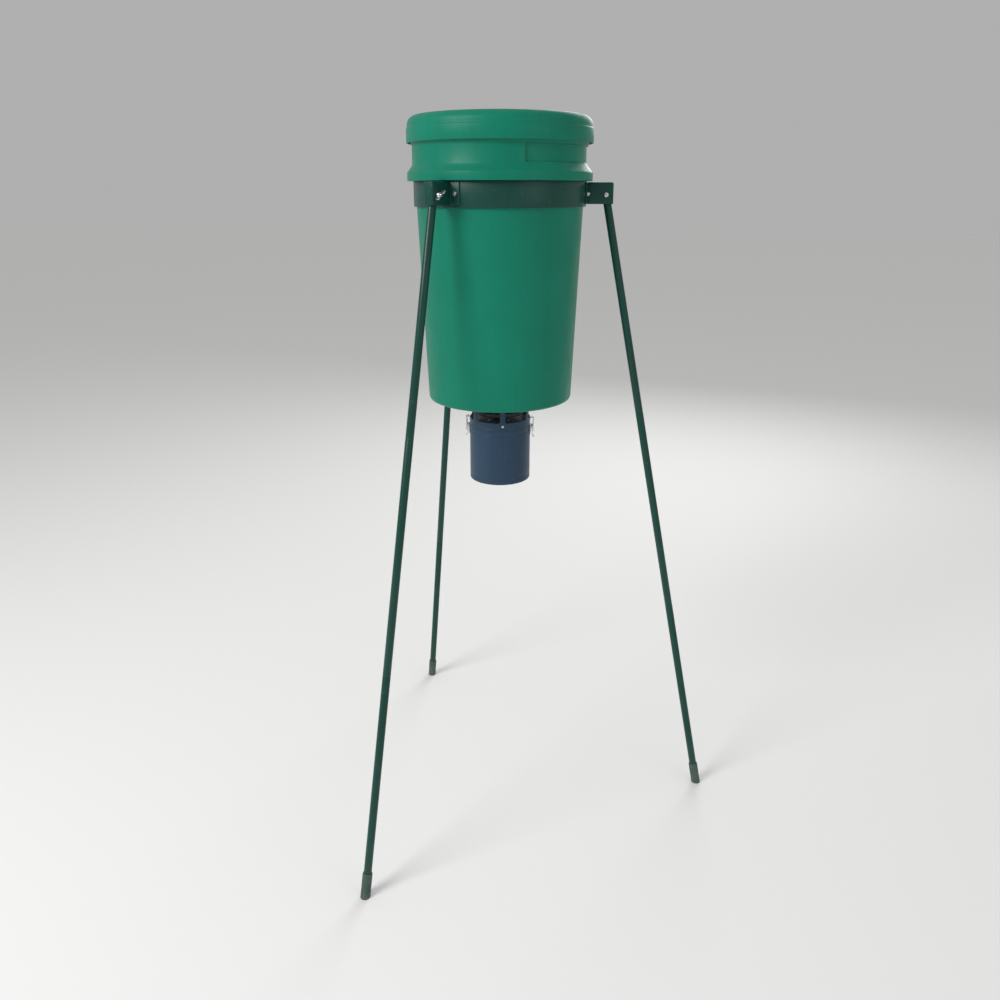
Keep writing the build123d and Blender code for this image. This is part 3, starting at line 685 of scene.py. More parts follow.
def build_lid():
    settings = bpy.context.scene.feeder_hopper
    top = high("hopper_lid").z
    skirt = low("hopper_lid").z
    outer = half_width("hopper_lid")
    wall = settings.wall
    upper = outer - 1.6 * MM
    corner = settings.lid_corner
    inner = corner - wall
    middle_r = upper - corner
    middle_z = top - corner
    groove = top - 1.2 * MM
    outline = [(0, top - 0.4 * MM), (0.117, top), (0.119, groove), (0.123, groove), (0.125, top)]
    outline += arc(middle_r, middle_z, corner, range(90, -1, -10))
    outline += [(upper, 1.4835), (outer, 1.4815), (outer, skirt), (outer - wall, skirt)]
    outline += [(outer - wall, 1.477), (upper - wall, 1.481)]
    inside = arc(middle_r, middle_z, inner, range(0, 91, 10))
    seat = high("lid_gasket").z
    seat_outer = 0.1778
    seat_inner = 0.173
    outline += [point for point in inside if point[0] > seat_outer]
    outline += [
        (seat_outer, middle_z + sqrt(inner**2 - (seat_outer - middle_r) ** 2)),
        (seat_outer, seat),
        (seat_inner, seat),
        (seat_inner, middle_z + sqrt(inner**2 - (seat_inner - middle_r) ** 2)),
    ]
    outline += [point for point in inside if point[0] < seat_inner - MM]
    outline.append((0, top - wall))
    bm = bmesh.new()
    add_lathe(bm, outline, steps=144, soft=0.8 * MM, segments=2)
    return make_piece("lid", bm, "lid_green", "lid", "hopper_lid")


# Stand
def build_hoop():
    bottom = low("hoop_band").z
    top = high("hoop_band").z
    outer = half_width("hoop_band")
    inner = outer - 3 * MM
    bm = bmesh.new()
    section = [(inner, bottom), (outer, bottom), (outer, top), (inner, top)]
    add_lathe(bm, section, steps=144, soft=0.7 * MM)
    weld_at = turned(180)
    beads = 16
    for step in range(beads):
        height = bottom + 2 * MM + step * (top - bottom - 4 * MM) / (beads - 1)
        part = bmesh.new()
        bmesh.ops.create_icosphere(part, subdivisions=2, radius=2.1 * MM)
        bmesh.ops.scale(part, vec=(0.4, 1.0, 1.0), verts=part.verts)
        bmesh.ops.translate(part, vec=(outer, 0, height), verts=part.verts)
        take_in(bm, part, weld_at)
    return make_piece("hoop", bm, "stand_green", "stand", "hoop_band")


BRACKET_GAP = 17.4 * MM


def build_bracket(number, angle):
    """Folded sheet bracket: a curved pad on the hoop and a channel that ends in a closed web."""
    settings = bpy.context.scene.feeder_stand
    node = f"leg_bracket_{number}"
    bottom = low(node).z
    top = high(node).z
    sheet = settings.sheet
    half = BRACKET_GAP / 2 + sheet
    pad_inner = 173.1 * MM
    pad_outer = 175.5 * MM
    pad_turn = asin(30 * MM / pad_outer)
    channel_start = 172.6 * MM
    channel_end = 226.5 * MM
    bm = bmesh.new()
    pad = bmesh.new()
    outline = [(pad_inner, bottom), (pad_outer, bottom), (pad_outer, top), (pad_inner, top)]
    face = pad.faces.new([pad.verts.new((r, 0, z)) for r, z in outline])
    bmesh.ops.rotate(pad, verts=pad.verts, matrix=Matrix.Rotation(-pad_turn, 3, "Z"))
    bmesh.ops.spin(
        pad, geom=[face], cent=(0, 0, 0), axis=(0, 0, 1), angle=2 * pad_turn, steps=12
    )
    bmesh.ops.recalc_face_normals(pad, faces=pad.faces)
    soften(pad, sharp_edges(pad, 40), 0.7 * MM, 2)
    take_in(bm, pad, turned(angle))
    channel = box_part((channel_start, -half, bottom), (channel_end, half, top))
    open_faces = [f for f in channel.faces if f.normal.z < -0.5 or f.normal.x < -0.5]
    bmesh.ops.delete(channel, geom=open_faces, context="FACES")
    corners = [e for e in channel.edges if len(e.link_faces) == 2]
    soften(channel, corners, 3.2 * MM, 5)
    bmesh.ops.recalc_face_normals(channel, faces=channel.faces)
    bmesh.ops.solidify(channel, geom=list(channel.faces), thickness=sheet)
    soften(channel, sharp_edges(channel, 60), 0.45 * MM, 2)
    take_in(bm, channel, turned(angle))
    return make_piece(f"bracket_{number}", bm, "stand_green", "stand", node)


def leg_splay():
    """Angle between a leg and the vertical, in radians."""
    return atan2(bpy.context.scene.feeder_stand.reach - PIVOT_REACH, PIVOT_Z)


def leg_axis(angle):
    """Place with Z up a leg and its origin at the leg's pivot."""
    at_pivot = Matrix.Translation((PIVOT_REACH, 0, PIVOT_Z))
    return turned(angle) @ at_pivot @ Matrix.Rotation(-leg_splay(), 4, "Y")


def leg_measures():
    """How far a leg's tube stands above its pivot, and the length of each of its sections."""
    head = 14 * MM
    sole = 6 * MM
    return head, (head + PIVOT_Z / cos(leg_splay()) - sole) / 3


def build_leg_section(number, angle, index):
    """One tube of a leg: a drawn-in mouth, a stop bead, and below it the spigot of the next joint."""
    settings = bpy.context.scene.feeder_stand
    outer = settings.tube_radius
    inner = outer - settings.tube_wall
    head, section = leg_measures()
    top = head - index * section
    end = top - section
    spigot = inner - 0.1 * MM
    outline = [(inner, top), (outer - 0.2 * MM, top), (outer, top - 0.6 * MM)]
    if index > 0:
        outline += [(outer, top - 3 * MM), (outer - 0.35 * MM, top - 4 * MM), (outer, top - 5 * MM)]
    if index < 2:
        outline += [
            (outer, end + 5 * MM),
            (outer - 0.35 * MM, end + 4 * MM),
            (outer, end + 3 * MM),
            (outer, end + 0.5 * MM),
            (outer - 0.3 * MM, end),
            (spigot, end),
            (spigot, end - 39 * MM),
            (spigot - 0.8 * MM, end - 40 * MM),
            (spigot - 1.5 * MM, end - 40 * MM),
            (spigot - 1.5 * MM, end + 6 * MM),
            (inner, end + 10 * MM),
        ]
    else:
        outline += [(outer, end), (inner, end)]
    bm = bmesh.new()
    place = leg_axis(angle)
    add_lathe(bm, outline, steps=40, matrix=place)
    if index == 0:
        plug = top - 4 * MM
        dome = [(0, top + 0.8 * MM), (5 * MM, top + 0.6 * MM), (inner, top), (inner, plug), (0, plug)]
        add_lathe(bm, dome, steps=40, matrix=place)
    part_name = ("upper", "middle", "lower")[index]
    body = (f"leg_{number}", f"leg_{number}_mid", f"leg_{number}_low")[index]
    return make_piece(f"tube_{number}_{part_name}", bm, "leg_green", body, f"leg_{number}_{part_name}")


def build_leg_sections(number, angle):
    for index in range(3):
        build_leg_section(number, angle, index)


def build_foot(number, angle):
    """Ribbed rubber foot, its sole cut level with the ground."""
    settings = bpy.context.scene.feeder_stand
    inner = settings.tube_radius + 0.05 * MM
    outer = settings.cap_radius
    head, section = leg_measures()
    sole = head - 3 * section
    top = sole + 46 * MM
    outline = [(0, sole - 12 * MM), (outer, sole - 12 * MM), (outer, sole + 6 * MM)]
    for rib in range(3):
        at = sole + 7 * MM + rib * 4 * MM
        outline += [(outer - 0.6 * MM, at), (outer - 0.6 * MM, at + 1.6 * MM), (outer, at + 2.4 * MM)]
    outline += [
        (outer, top - 4 * MM),
        (outer - 0.4 * MM, top - 1.5 * MM),
        (outer - 1.0 * MM, top),
        (inner, top),
        (inner, sole),
        (0, sole),
    ]
    bm = bmesh.new()
    add_lathe(bm, outline, steps=48, soft=0.25 * MM, segments=2, matrix=leg_axis(angle))
    cut_away(bm, (0, 0, GROUND_Z), (0, 0, -1))
    return make_piece(f"foot_{number}", bm, "foot_rubber", f"leg_{number}_low", f"foot_cap_{number}")


def build_pivots():
    """Pivot bolts with domed heads and wing nuts, one of each through every bracket."""
    half = BRACKET_GAP / 2 + bpy.context.scene.feeder_stand.sheet
    bolts = bmesh.new()
    wings = bmesh.new()
    for angle in LEG_ANGLES:
        at_pivot = turned(angle) @ Matrix.Translation((PIVOT_REACH, 0, PIVOT_Z))
        across = at_pivot @ Matrix.Rotation(-pi / 2, 4, "X")
        bolt = [
            (0, -half - 3.9 * MM),
            (2.4 * MM, -half - 3.8 * MM),
            (4.4 * MM, -half - 2.9 * MM),
            (5.5 * MM, -half - 1.0 * MM),
            (5.5 * MM, -half),
            (3 * MM, -half),
            (3 * MM, half + 9.4 * MM),
            (2.4 * MM, half + 10 * MM),
            (0, half + 10 * MM),
        ]
        add_lathe(bolts, bolt, steps=32, soft=0.2 * MM, segments=2, matrix=across)
        body = [
            (3 * MM, half),
            (5.5 * MM, half),
            (5.2 * MM, half + 3 * MM),
            (4.6 * MM, half + 7 * MM),
            (3 * MM, half + 7 * MM),
        ]
        add_lathe(wings, body, steps=32, soft=0.3 * MM, segments=2, matrix=across)
        for side in (0, 180):
            turn = across @ Matrix.Rotation(radians(35 + side), 4, "Z")
            wing = bmesh.new()
            bmesh.ops.create_cube(wing, size=1.0)
            bmesh.ops.scale(wing, vec=(9.2 * MM, 2.4 * MM, 9.6 * MM), verts=wing.verts)
            upper = [v for v in wing.verts if v.co.z > 0]
            bmesh.ops.translate(wing, vec=(1.5 * MM, 0, 0), verts=upper)
            bmesh.ops.translate(wing, vec=(7.9 * MM, 0, half + 6.6 * MM), verts=wing.verts)
            tips = [edge for edge in crossing(wing, MM) if edge.verts[0].co.x > 5 * MM]
            soften(wing, tips, 2.6 * MM, 5)
            soften(wing, sharp_edges(wing, 50), 0.5 * MM, 2)
            take_in(wings, wing, turn)
    make_piece("pivot_bolts_domed", bolts, "bright_steel", "stand", "pivot_bolts")
    return make_piece("wing_nuts", wings, "bright_steel", "stand", "pivot_wing_nuts")


# Feeder unit
def build_shell():
    """Pressed guard shell: flange, six windows with round corners between the posts, and a lower ring."""
    settings = bpy.context.scene.feeder_unit
    radius = settings.radius
    bottom = low("guard_shell").z
    top = high("guard_shell").z
    window_low = 0.897
    window_high = 0.938
    levels = (bottom, window_low, window_high, top - 1.2 * MM)
    part = bmesh.new()
    verts = [part.verts.new((radius, 0, z)) for z in levels]
    verts.append(part.verts.new((radius - 1.2 * MM, 0, top)))
    verts.append(part.verts.new((22.3 * MM, 0, top)))
    edges = [part.edges.new(pair) for pair in zip(verts, verts[1:])]
    bmesh.ops.rotate(part, verts=part.verts, matrix=Matrix.Rotation(settings.first_post, 3, "Z"))
    bmesh.ops.spin(
        part, geom=verts + edges, cent=(0, 0, 0), axis=(0, 0, 1), angle=tau, steps=144, use_merge=True
    )
    step = tau / settings.posts
    post_half = radians(5)
    windows = []
    for face in part.faces:
        middle = face.calc_center_median()
        around = (atan2(middle.y, middle.x) - settings.first_post) % step
        if window_low < middle.z < window_high and post_half < around < step - post_half:
            windows.append(face)
    bmesh.ops.delete(part, geom=windows, context="FACES")
    corners = [v for v in part.verts if len(v.link_edges) == 4 and len(v.link_faces) == 3]
    bmesh.ops.bevel(
        part, geom=corners, offset=3.0 * MM, segments=4, profile=0.5, affect="VERTICES", material=-1
    )
    bmesh.ops.recalc_face_normals(part, faces=part.faces)
    outward = max(part.faces, key=lambda face: face.calc_center_median().xy.length)
    if outward.normal.xy.dot(outward.calc_center_median().xy) < 0:
        bmesh.ops.reverse_faces(part, faces=part.faces)
    bmesh.ops.solidify(part, geom=list(part.faces), thickness=settings.sheet)
    bm = bmesh.new()
    take_in(bm, part, AXIS)
    return make_piece("shell", bm, "unit_blue", "hopper", "guard_shell")


def build_can():
    """Drawn can: rounded foot, a shallow stiffening bead near each end and a curled mouth."""
    settings = bpy.context.scene.feeder_unit
    radius = settings.radius
    bottom = low("housing_can").z
    top = high("housing_can").z
    wall = 1.2 * MM
    inner = radius - wall
    bead = 0.7 * MM
    corner = 4 * MM
    dimple = bottom + 0.4 * MM
    floor = low("battery_tray").z - 0.05 * MM
    outline = [(0, dimple), (radius - 12 * MM, dimple), (radius - 11 * MM, bottom)]
    outline += arc(radius - corner, bottom + corner, corner, range(-90, 1, 15))
    for at in (bottom + 12 * MM, top - 14 * MM):
        outline += [(radius, at - 2 * MM), (radius - bead, at), (radius, at + 2 * MM)]
    outline += [(radius, top - 1 * MM), (radius - 0.3 * MM, top), (inner, top), (inner, floor + 3 * MM)]
    outline += [(inner - 1 * MM, floor + 1 * MM), (inner - 3 * MM, floor), (0, floor)]
    bm = bmesh.new()
    add_lathe(bm, outline, steps=128, soft=0.3 * MM, segments=2)
    return make_piece("can", bm, "unit_blue", "can", "housing_can")


def build_catches():
    """Bent sheet catches on the shell's lower ring, one for each latch's wire."""
    bm = bmesh.new()
    top = high("latch_keepers").z - 0.1 * MM
    back = 65.8 * MM
    lip = 70.1 * MM
    shelf = 894.75 * MM
    route = ((back, 886.8 * MM), (back, shelf), (lip, shelf), (lip, top))
    rivet = [(0, 0), (1.3 * MM, 0), (1.1 * MM, 0.45 * MM), (0.6 * MM, 0.7 * MM), (0, 0.8 * MM)]
    for angle in LATCH_ANGLES:
        add_strip(bm, route, 4.6 * MM, 1.3 * MM, 1.1 * MM, turned(angle))
        for across in (-2.4, 2.4):
            add_lathe(bm, rivet, 20, matrix=facing_out(angle, 66.3 * MM, across * MM, 889.8 * MM))
    return make_piece("catches", bm, "wire_steel", "hopper", "latch_keepers")


def build_screws():
    """Slotted screws through the shell's ring, and those on the deck."""
    settings = bpy.context.scene.feeder_unit
    ring = bmesh.new()
    height = middle_of("shell_screws").z
    for index in range(3):
        around = degrees(settings.first_post) + index * 120
        place = facing_out(around, settings.radius - 0.1 * MM, 0, height)
        slot_turn = Matrix.Rotation(radians(25 + 50 * index), 4, "Z")
        add_screw(ring, 3.0 * MM, 1.6 * MM, 4.5 * MM, place @ slot_turn)
    make_piece("ring_screws", ring, "bright_steel", "hopper", "shell_screws")
    deck = bmesh.new()
    top = high("motor_deck").z
    for index, (x, y, depth) in enumerate(((-11, 0, 7), (11, 0, 7), (-20, -30, 5.5), (20, -30, 5.5))):
        place = AXIS @ Matrix.Translation((x * MM, y * MM, top))
        slot_turn = Matrix.Rotation(radians(70 * index), 4, "Z")
        add_screw(deck, 2.8 * MM, 2.0 * MM, depth * MM, place @ slot_turn)
    return make_piece("deck_screw_set", deck, "bright_steel", "hopper", "deck_screws")


def build_bolts():
    """Nuts and flat-headed bolts of the brackets, and the bolts that hold the unit under the floor."""
    bolts = bmesh.new()
    nuts = bmesh.new()
    seat = 170.7 * MM
    rod = 2.5 * MM
    across_flats = 8 * MM
    height = middle_of("bracket_bolts").z
    bolt = [(0, seat - 1.4 * MM), (4.5 * MM, seat - 1.4 * MM), (4.5 * MM, seat - 0.6 * MM)]
    bolt += [(rod, seat), (rod, 173.6 * MM)]
    bolt += threaded(rod, 173.8 * MM, 179.4 * MM) + [(1.8 * MM, 180 * MM), (0, 180 * MM)]
    for angle in LEG_ANGLES:
        for side in (-22, 22):
            place = facing_out(angle, 0, side * MM, height)
            add_lathe(bolts, bolt, 28, matrix=place)
            spun = place @ Matrix.Rotation(side * 0.02, 4, "Z")
            add_hexagon(nuts, across_flats, 174.6 * MM, 178.1 * MM, rod, spun)
    make_piece("bracket_bolt_set", bolts, "bright_steel", "stand", "bracket_bolts")
    make_piece("bracket_nut_set", nuts, "bright_steel", "stand", "bracket_nuts")
    floor_bolts = bmesh.new()
    floor_nuts = bmesh.new()
    head = high("floor_bolts").z
    end = low("floor_bolts").z
    bolt = [(0, end), (1.9 * MM, end)] + threaded(rod, end + 0.6 * MM, end + 10 * MM)
    bolt += [(rod, end + 10.4 * MM), (rod, head - 3 * MM), (5 * MM, head - 3 * MM)]
    bolt += [(4.9 * MM, head - 1.6 * MM), (3.6 * MM, head - 0.4 * MM), (0, head)]
    for index in range(4):
        place = turned(45 + index * 90) @ Matrix.Translation((54 * MM, 0, 0))
        add_lathe(floor_bolts, bolt, 28, matrix=place)
        spun = place @ Matrix.Rotation(0.3 * index, 4, "Z")
        add_hexagon(floor_nuts, across_flats, low("floor_nuts").z, high("floor_nuts").z, rod, spun)
    make_piece("floor_bolt_set", floor_bolts, "bright_steel", "hopper", "floor_bolts")
    return make_piece("floor_nut_set", floor_nuts, "bright_steel", "hopper", "floor_nuts")


SWING_REACH = 72.2 * MM
BLADE_HALF = 5.5 * MM


def build_latch(number, angle):
    """Draw latch: stamped base with ears and a curled lever."""
    hinge = Vector((70 * MM, 0, joint_place(f"latch_{number}_open").z))
    swing = Vector((SWING_REACH, 0, joint_place(f"latch_{number}_wire_swing").z))
    place = turned(angle)
    base = bmesh.new()
    back = 66.4 * MM
    plate_low = (64.9 * MM, -10 * MM, hinge.z - 15 * MM)
    add_block(base, plate_low, (back, 10 * MM, hinge.z + 5 * MM), 0.6 * MM, 3, place)
    for side in (-1, 1):
        near, far = sorted((side * 8.6 * MM, side * 9.9 * MM))
        ear_low = (65.5 * MM, near, hinge.z - 4 * MM)
        add_block(base, ear_low, (72.4 * MM, far, hinge.z + 4 * MM), 0.6 * MM, 3, place)
    for across in (-5.5, 5.5):
        rivet = bmesh.new()
        bmesh.ops.create_uvsphere(rivet, u_segments=16, v_segments=8, radius=1.9 * MM)
        bmesh.ops.scale(rivet, vec=(0.5, 1, 1), verts=rivet.verts)
        bmesh.ops.translate(rivet, vec=(back, across * MM, hinge.z - 10 * MM), verts=rivet.verts)
        take_in(base, rivet, place)
    add_pin(base, hinge, 10.4 * MM, 1.0 * MM, 20, place)
    make_piece(f"latch_{number}_plate", base, "bright_steel", "can", f"latch_{number}_base")
    lever = bmesh.new()
    for middle in (hinge, swing):
        add_pin(lever, middle, BLADE_HALF, 2.2 * MM, 28, place)
    blade = bmesh.new()
    bmesh.ops.create_grid(blade, x_segments=4, y_segments=10, size=0.5)
    bmesh.ops.scale(blade, vec=(2 * BLADE_HALF, 20.5 * MM, 1), verts=blade.verts)
    for axis in ("X", "Z"):
        bmesh.ops.rotate(blade, verts=blade.verts, matrix=Matrix.Rotation(pi / 2, 3, axis))
    bmesh.ops.translate(blade, vec=(hinge.x + 0.5 * MM, 0, hinge.z - 11 * MM), verts=blade.verts)
    curl = 90
    for vert in blade.verts:
        below = max(0.0, hinge.z - 15 * MM - vert.co.z)
        crown = 1 - (vert.co.y / BLADE_HALF) ** 2
        vert.co.x += below**2 * curl + crown * 0.5 * MM
    bmesh.ops.recalc_face_normals(blade, faces=blade.faces)
    bmesh.ops.solidify(blade, geom=list(blade.faces), thickness=1.1 * MM)
    soften(blade, sharp_edges(blade, 60), 0.35 * MM, 2)
    take_in(lever, blade, place)
    make_piece(f"latch_{number}_handle", lever, "wire_steel", f"latch_{number}", f"latch_{number}_lever")


def wire_loop(number, angle):
    """Bent wire of the latch: a closed rounded rectangle of round wire."""
    swing = Vector((SWING_REACH, 0, joint_place(f"latch_{number}_wire_swing").z))
    top = 897 * MM
    half = 7 * MM
    curve = bpy.data.curves.new("wire", "CURVE")
    curve.dimensions = "3D"
    curve.bevel_depth = 1.0 * MM
    curve.bevel_resolution = 5
    spline = curve.splines.new("BEZIER")
    bend = 2 * MM
    corners = ((-half, swing.z), (half, swing.z), (half, top), (-half, top))
    points = []
    for index, (y, z) in enumerate(corners):
        before = Vector(corners[index - 1])
        after = Vector(corners[(index + 1) % 4])
        here = Vector((y, z))
        for other in (before, after):
            points.append(here + (other - here).normalized() * bend)
    spline.bezier_points.add(len(points) - 1)
    for point, (y, z) in zip(spline.bezier_points, points):
        point.co = (swing.x, y, z)
    for index, point in enumerate(spline.bezier_points):
        corner = Vector((swing.x, *corners[index // 2]))
        starts_bend = index % 2 == 0
        neighbour = index - 1 if starts_bend else (index + 1) % len(points)
        other = spline.bezier_points[neighbour]
        inward = point.co + (corner - point.co) * 0.55
        straight = point.co + (other.co - point.co) / 3
        point.handle_left_type = "FREE"
        point.handle_right_type = "FREE"
        point.handle_left = straight if starts_bend else inward
        point.handle_right = inward if starts_bend else straight
    spline.use_cyclic_u = True
    holder = bpy.data.objects.new("wire", curve)
    mesh = bpy.data.meshes.new_from_object(holder)
    bm = bmesh.new()
    bm.from_mesh(mesh)
    bpy.data.objects.remove(holder)
    bpy.data.curves.remove(curve)
    bpy.data.meshes.remove(mesh)
    bmesh.ops.remove_doubles(bm, verts=bm.verts, dist=1e-6)
    bmesh.ops.recalc_face_normals(bm, faces=bm.faces)
    bmesh.ops.transform(bm, matrix=turned(angle), verts=bm.verts)
    node = f"latch_{number}_loop"
    return make_piece(f"latch_{number}_bail", bm, "wire_steel", f"latch_{number}_wire", node)


def build_spinner():
    """Slinger: dished disc with a rolled, upturned rim and four folded vanes."""
    base = low("spinner_disc").z
    top = high("spinner_disc").z
    radius = half_width("spinner_disc")
    outline = [
        (3.5 * MM, base),
        (radius - 3 * MM, base),
        (radius - 0.6 * MM, base + 1.4 * MM),
        (radius, base + 3.4 * MM),
        (radius, top - 0.4 * MM),
        (radius - 0.75 * MM, top),
        (radius - 1.5 * MM, top - 0.4 * MM),
        (radius - 1.5 * MM, base + 3.4 * MM),
        (radius - 3.4 * MM, base + 1.5 * MM),
        (3.5 * MM, base + 1.5 * MM),
    ]
    bm = bmesh.new()
    add_lathe(bm, outline, steps=96, soft=0.25 * MM, segments=2)
    for angle in range(0, 360, 90):
        vane = ((14 * MM, -0.7 * MM, base + 1 * MM), (radius - 1.4 * MM, 0.7 * MM, top - 0.2 * MM))
        foot = ((14 * MM, 0.2 * MM, base + 1.4 * MM), (radius - 5 * MM, 6 * MM, base + 2.6 * MM))
        for corners in (vane, foot):
            add_block(bm, *corners, 0.4 * MM, 2, turned(angle))
    return make_piece("slinger", bm, "slinger_coat", "spinner", "spinner_disc")


def build_motor():
    """Drawn motor can with a rolled end, a bearing boss and two solder tabs."""
    top = 893.5 * MM
    radius = 16 * MM
    base = top - 50 * MM
    outline = [
        (0, base),
        (5 * MM, base),
        (5.4 * MM, base - 1.2 * MM),
        (8 * MM, base - 1.2 * MM),
        (8.4 * MM, base),
        (radius - 2 * MM, base),
        (radius - 0.4 * MM, base + 1.2 * MM),
        (radius, base + 3 * MM),
        (radius, base + 9 * MM),
        (radius - 0.5 * MM, base + 9.6 * MM),
        (radius - 0.5 * MM, base + 10.8 * MM),
        (radius, base + 11.4 * MM),
        (radius, top - 3 * MM),
        (radius - 1.4 * MM, top - 0.6 * MM),
        (radius - 3 * MM, top),
        (6 * MM, top),
        (6 * MM, top + 3 * MM),
        (2.05 * MM, top + 3 * MM),
        (2.05 * MM, top - 17 * MM),
        (0, top - 17 * MM),
    ]
    bm = bmesh.new()
    add_lathe(bm, outline, steps=64, soft=0.25 * MM, segments=2)
    for side in (-1, 1):
        x = side * 6.6 * MM
        tab_low = (x - 2 * MM, -0.4 * MM, base - 6 * MM)
        add_block(bm, tab_low, (x + 2 * MM, 0.4 * MM, base + MM), 0.2 * MM, 2, AXIS)
    return make_piece("motor_body", bm, "motor_steel", "hopper", "motor")


def panel_sheet(panel_low, panel_high, screen_low, screen_high):
    """Timer's front panel as one moulding: a window for the display and a round hole for each button."""
    front = panel_low.y
    margin = 0.3 * MM
    part = bmesh.new()
    corners = (
        (panel_low.x, panel_low.z),
        (panel_high.x, panel_low.z),
        (panel_high.x, panel_high.z),
        (panel_low.x, panel_high.z),
    )
    part.faces.new([part.verts.new((x, front, z)) for x, z in corners])
    middles = [middle_of(f"timer_button_{number}") for number in BUTTONS]
    cell = 5.8 * MM
    hole = 3.8 * MM
    rows = (
        (screen_low.z - margin, screen_high.z + margin, (screen_low.x - margin, screen_high.x + margin)),
        (middles[0].z - cell, middles[0].z + cell, [m.x + d for m in middles for d in (-cell, cell)]),
    )
    for bottom, top, columns in rows:
        for z in (bottom, top):
            bmesh.ops.bisect_plane(
                part, geom=everything(part), plane_co=(0, 0, z), plane_no=(0, 0, 1)
            )
        for x in columns:
            row = [face for face in part.faces if bottom < face.calc_center_median().z < top]
            geometry = row + list({edge for face in row for edge in face.edges})
            bmesh.ops.bisect_plane(part, geom=geometry, plane_co=(x, 0, 0), plane_no=(1, 0, 0))

    def face_at(point):
        return min(part.faces, key=lambda face: (face.calc_center_median() - point).xz.length)

    def beside(edge, point):
        offsets = [vert.co - point for vert in edge.verts]
        return all(max(abs(offset.x), abs(offset.z)) < cell * 1.01 for offset in offsets)

    window = face_at((screen_low + screen_high) / 2)
    bmesh.ops.delete(part, geom=[window], context="FACES")
    for middle in middles:
        cut_out = face_at(middle)
        rim = list(cut_out.edges)
        bmesh.ops.delete(part, geom=[cut_out], context="FACES_ONLY")
        bmesh.ops.subdivide_edges(part, edges=rim, cuts=7)
        rim = [edge for edge in part.edges if edge.is_boundary and beside(edge, middle)]
        drawn = bmesh.ops.extrude_edge_only(part, edges=rim)
        for vert in new_verts(drawn):
            outward = Vector((vert.co.x - middle.x, 0, vert.co.z - middle.z))
            vert.co = Vector((middle.x, front, middle.z)) + outward.normalized() * hole
    bmesh.ops.recalc_face_normals(part, faces=part.faces)
    if next(iter(part.faces)).normal.y > 0:
        bmesh.ops.reverse_faces(part, faces=part.faces)
    bmesh.ops.solidify(part, geom=list(part.faces), thickness=2 * MM)
    bm = bmesh.new()
    take_in(bm, part)
    return bm


def button_place(number):
    """Place on the panel's face at a button's middle, with Z into the panel."""
    middle = middle_of(f"timer_button_{number}")
    on_face = Matrix.Translation((middle.x, low("timer_panel").y, middle.z))
    return on_face @ Matrix.Rotation(-pi / 2, 4, "X")


def build_timer():
    """Timer: ribbed case, framed panel, display with plain digits, and four round buttons."""
    front = low("timer_panel").y
    case_low = low("timer_case")
    case_high = high("timer_case")
    case = bmesh.new()
    shell = box_part(case_low, case_high)
    soften(shell, crossing(shell, 5 * MM), 3 * MM, 5)
    mouth = [face for face in shell.faces if face.normal.y < -0.99]
    bmesh.ops.inset_region(shell, faces=mouth, thickness=2 * MM, depth=0.0, use_even_offset=True)
    facing = [face for face in shell.faces if face.normal.y < -0.99]
    mouth = [face for face in facing if face.calc_area() > 0.002]
    moved = bmesh.ops.extrude_discrete_faces(shell, faces=mouth)
    floor = list({vert for face in moved["faces"] for vert in face.verts})
    bmesh.ops.translate(shell, vec=(0, 22 * MM, 0), verts=floor)
    soften(shell, sharp_edges(shell, 50), 0.5 * MM, 2)
    take_in(case, shell)
    for step in range(-3, 4):
        z = (case_low.z + case_high.z) / 2 + step * 7 * MM
        for side in (case_low.x, case_high.x):
            rib_low = (side - 0.5 * MM, front + 6 * MM, z - MM)
            rib_high = (side + 0.5 * MM, front + 20 * MM, z + MM)
            add_block(case, rib_low, rib_high, 0.4 * MM)
    make_piece("timer_box", case, "black_plastic", "hopper", "timer_case")

    panel_low = low("timer_panel")
    panel_high = high("timer_panel")
    screen_low = low("timer_screen")
    screen_high = high("timer_screen")
    panel = panel_sheet(panel_low, panel_high, screen_low, screen_high)
    collar = [(4.0, -0.5), (4.9, -0.5), (4.9, 0.3), (4.0, 0.3)]
    collar = [(r * MM, z * MM) for r, z in collar]
    for number in BUTTONS:
        add_lathe(panel, collar, steps=32, soft=0.2 * MM, segments=2, matrix=button_place(number))
    make_piece("timer_front", panel, "panel_plastic", "hopper", "timer_panel")

    screen = bmesh.new()
    add_block(screen, tuple(screen_low), tuple(screen_high), 0.3 * MM)
    make_piece("timer_glass", screen, "display", "hopper", "timer_screen")
    make_piece("timer_digits", digits(screen_low, screen_high), "black_plastic", "hopper")
    cap = [(0, -1.5), (2.2, -1.5), (3.1, -1.2), (3.5, -0.6), (3.5, 2.8), (0, 2.8)]
    cap = [(r * MM, z * MM) for r, z in cap]
    for number in BUTTONS:
        button = bmesh.new()
        add_lathe(button, cap, steps=32, soft=0.15 * MM, segments=2, matrix=button_place(number))
        node = f"timer_button_{number}"
        make_piece(f"button_cap_{number}", button, "button_rubber", f"button_{number}", node)


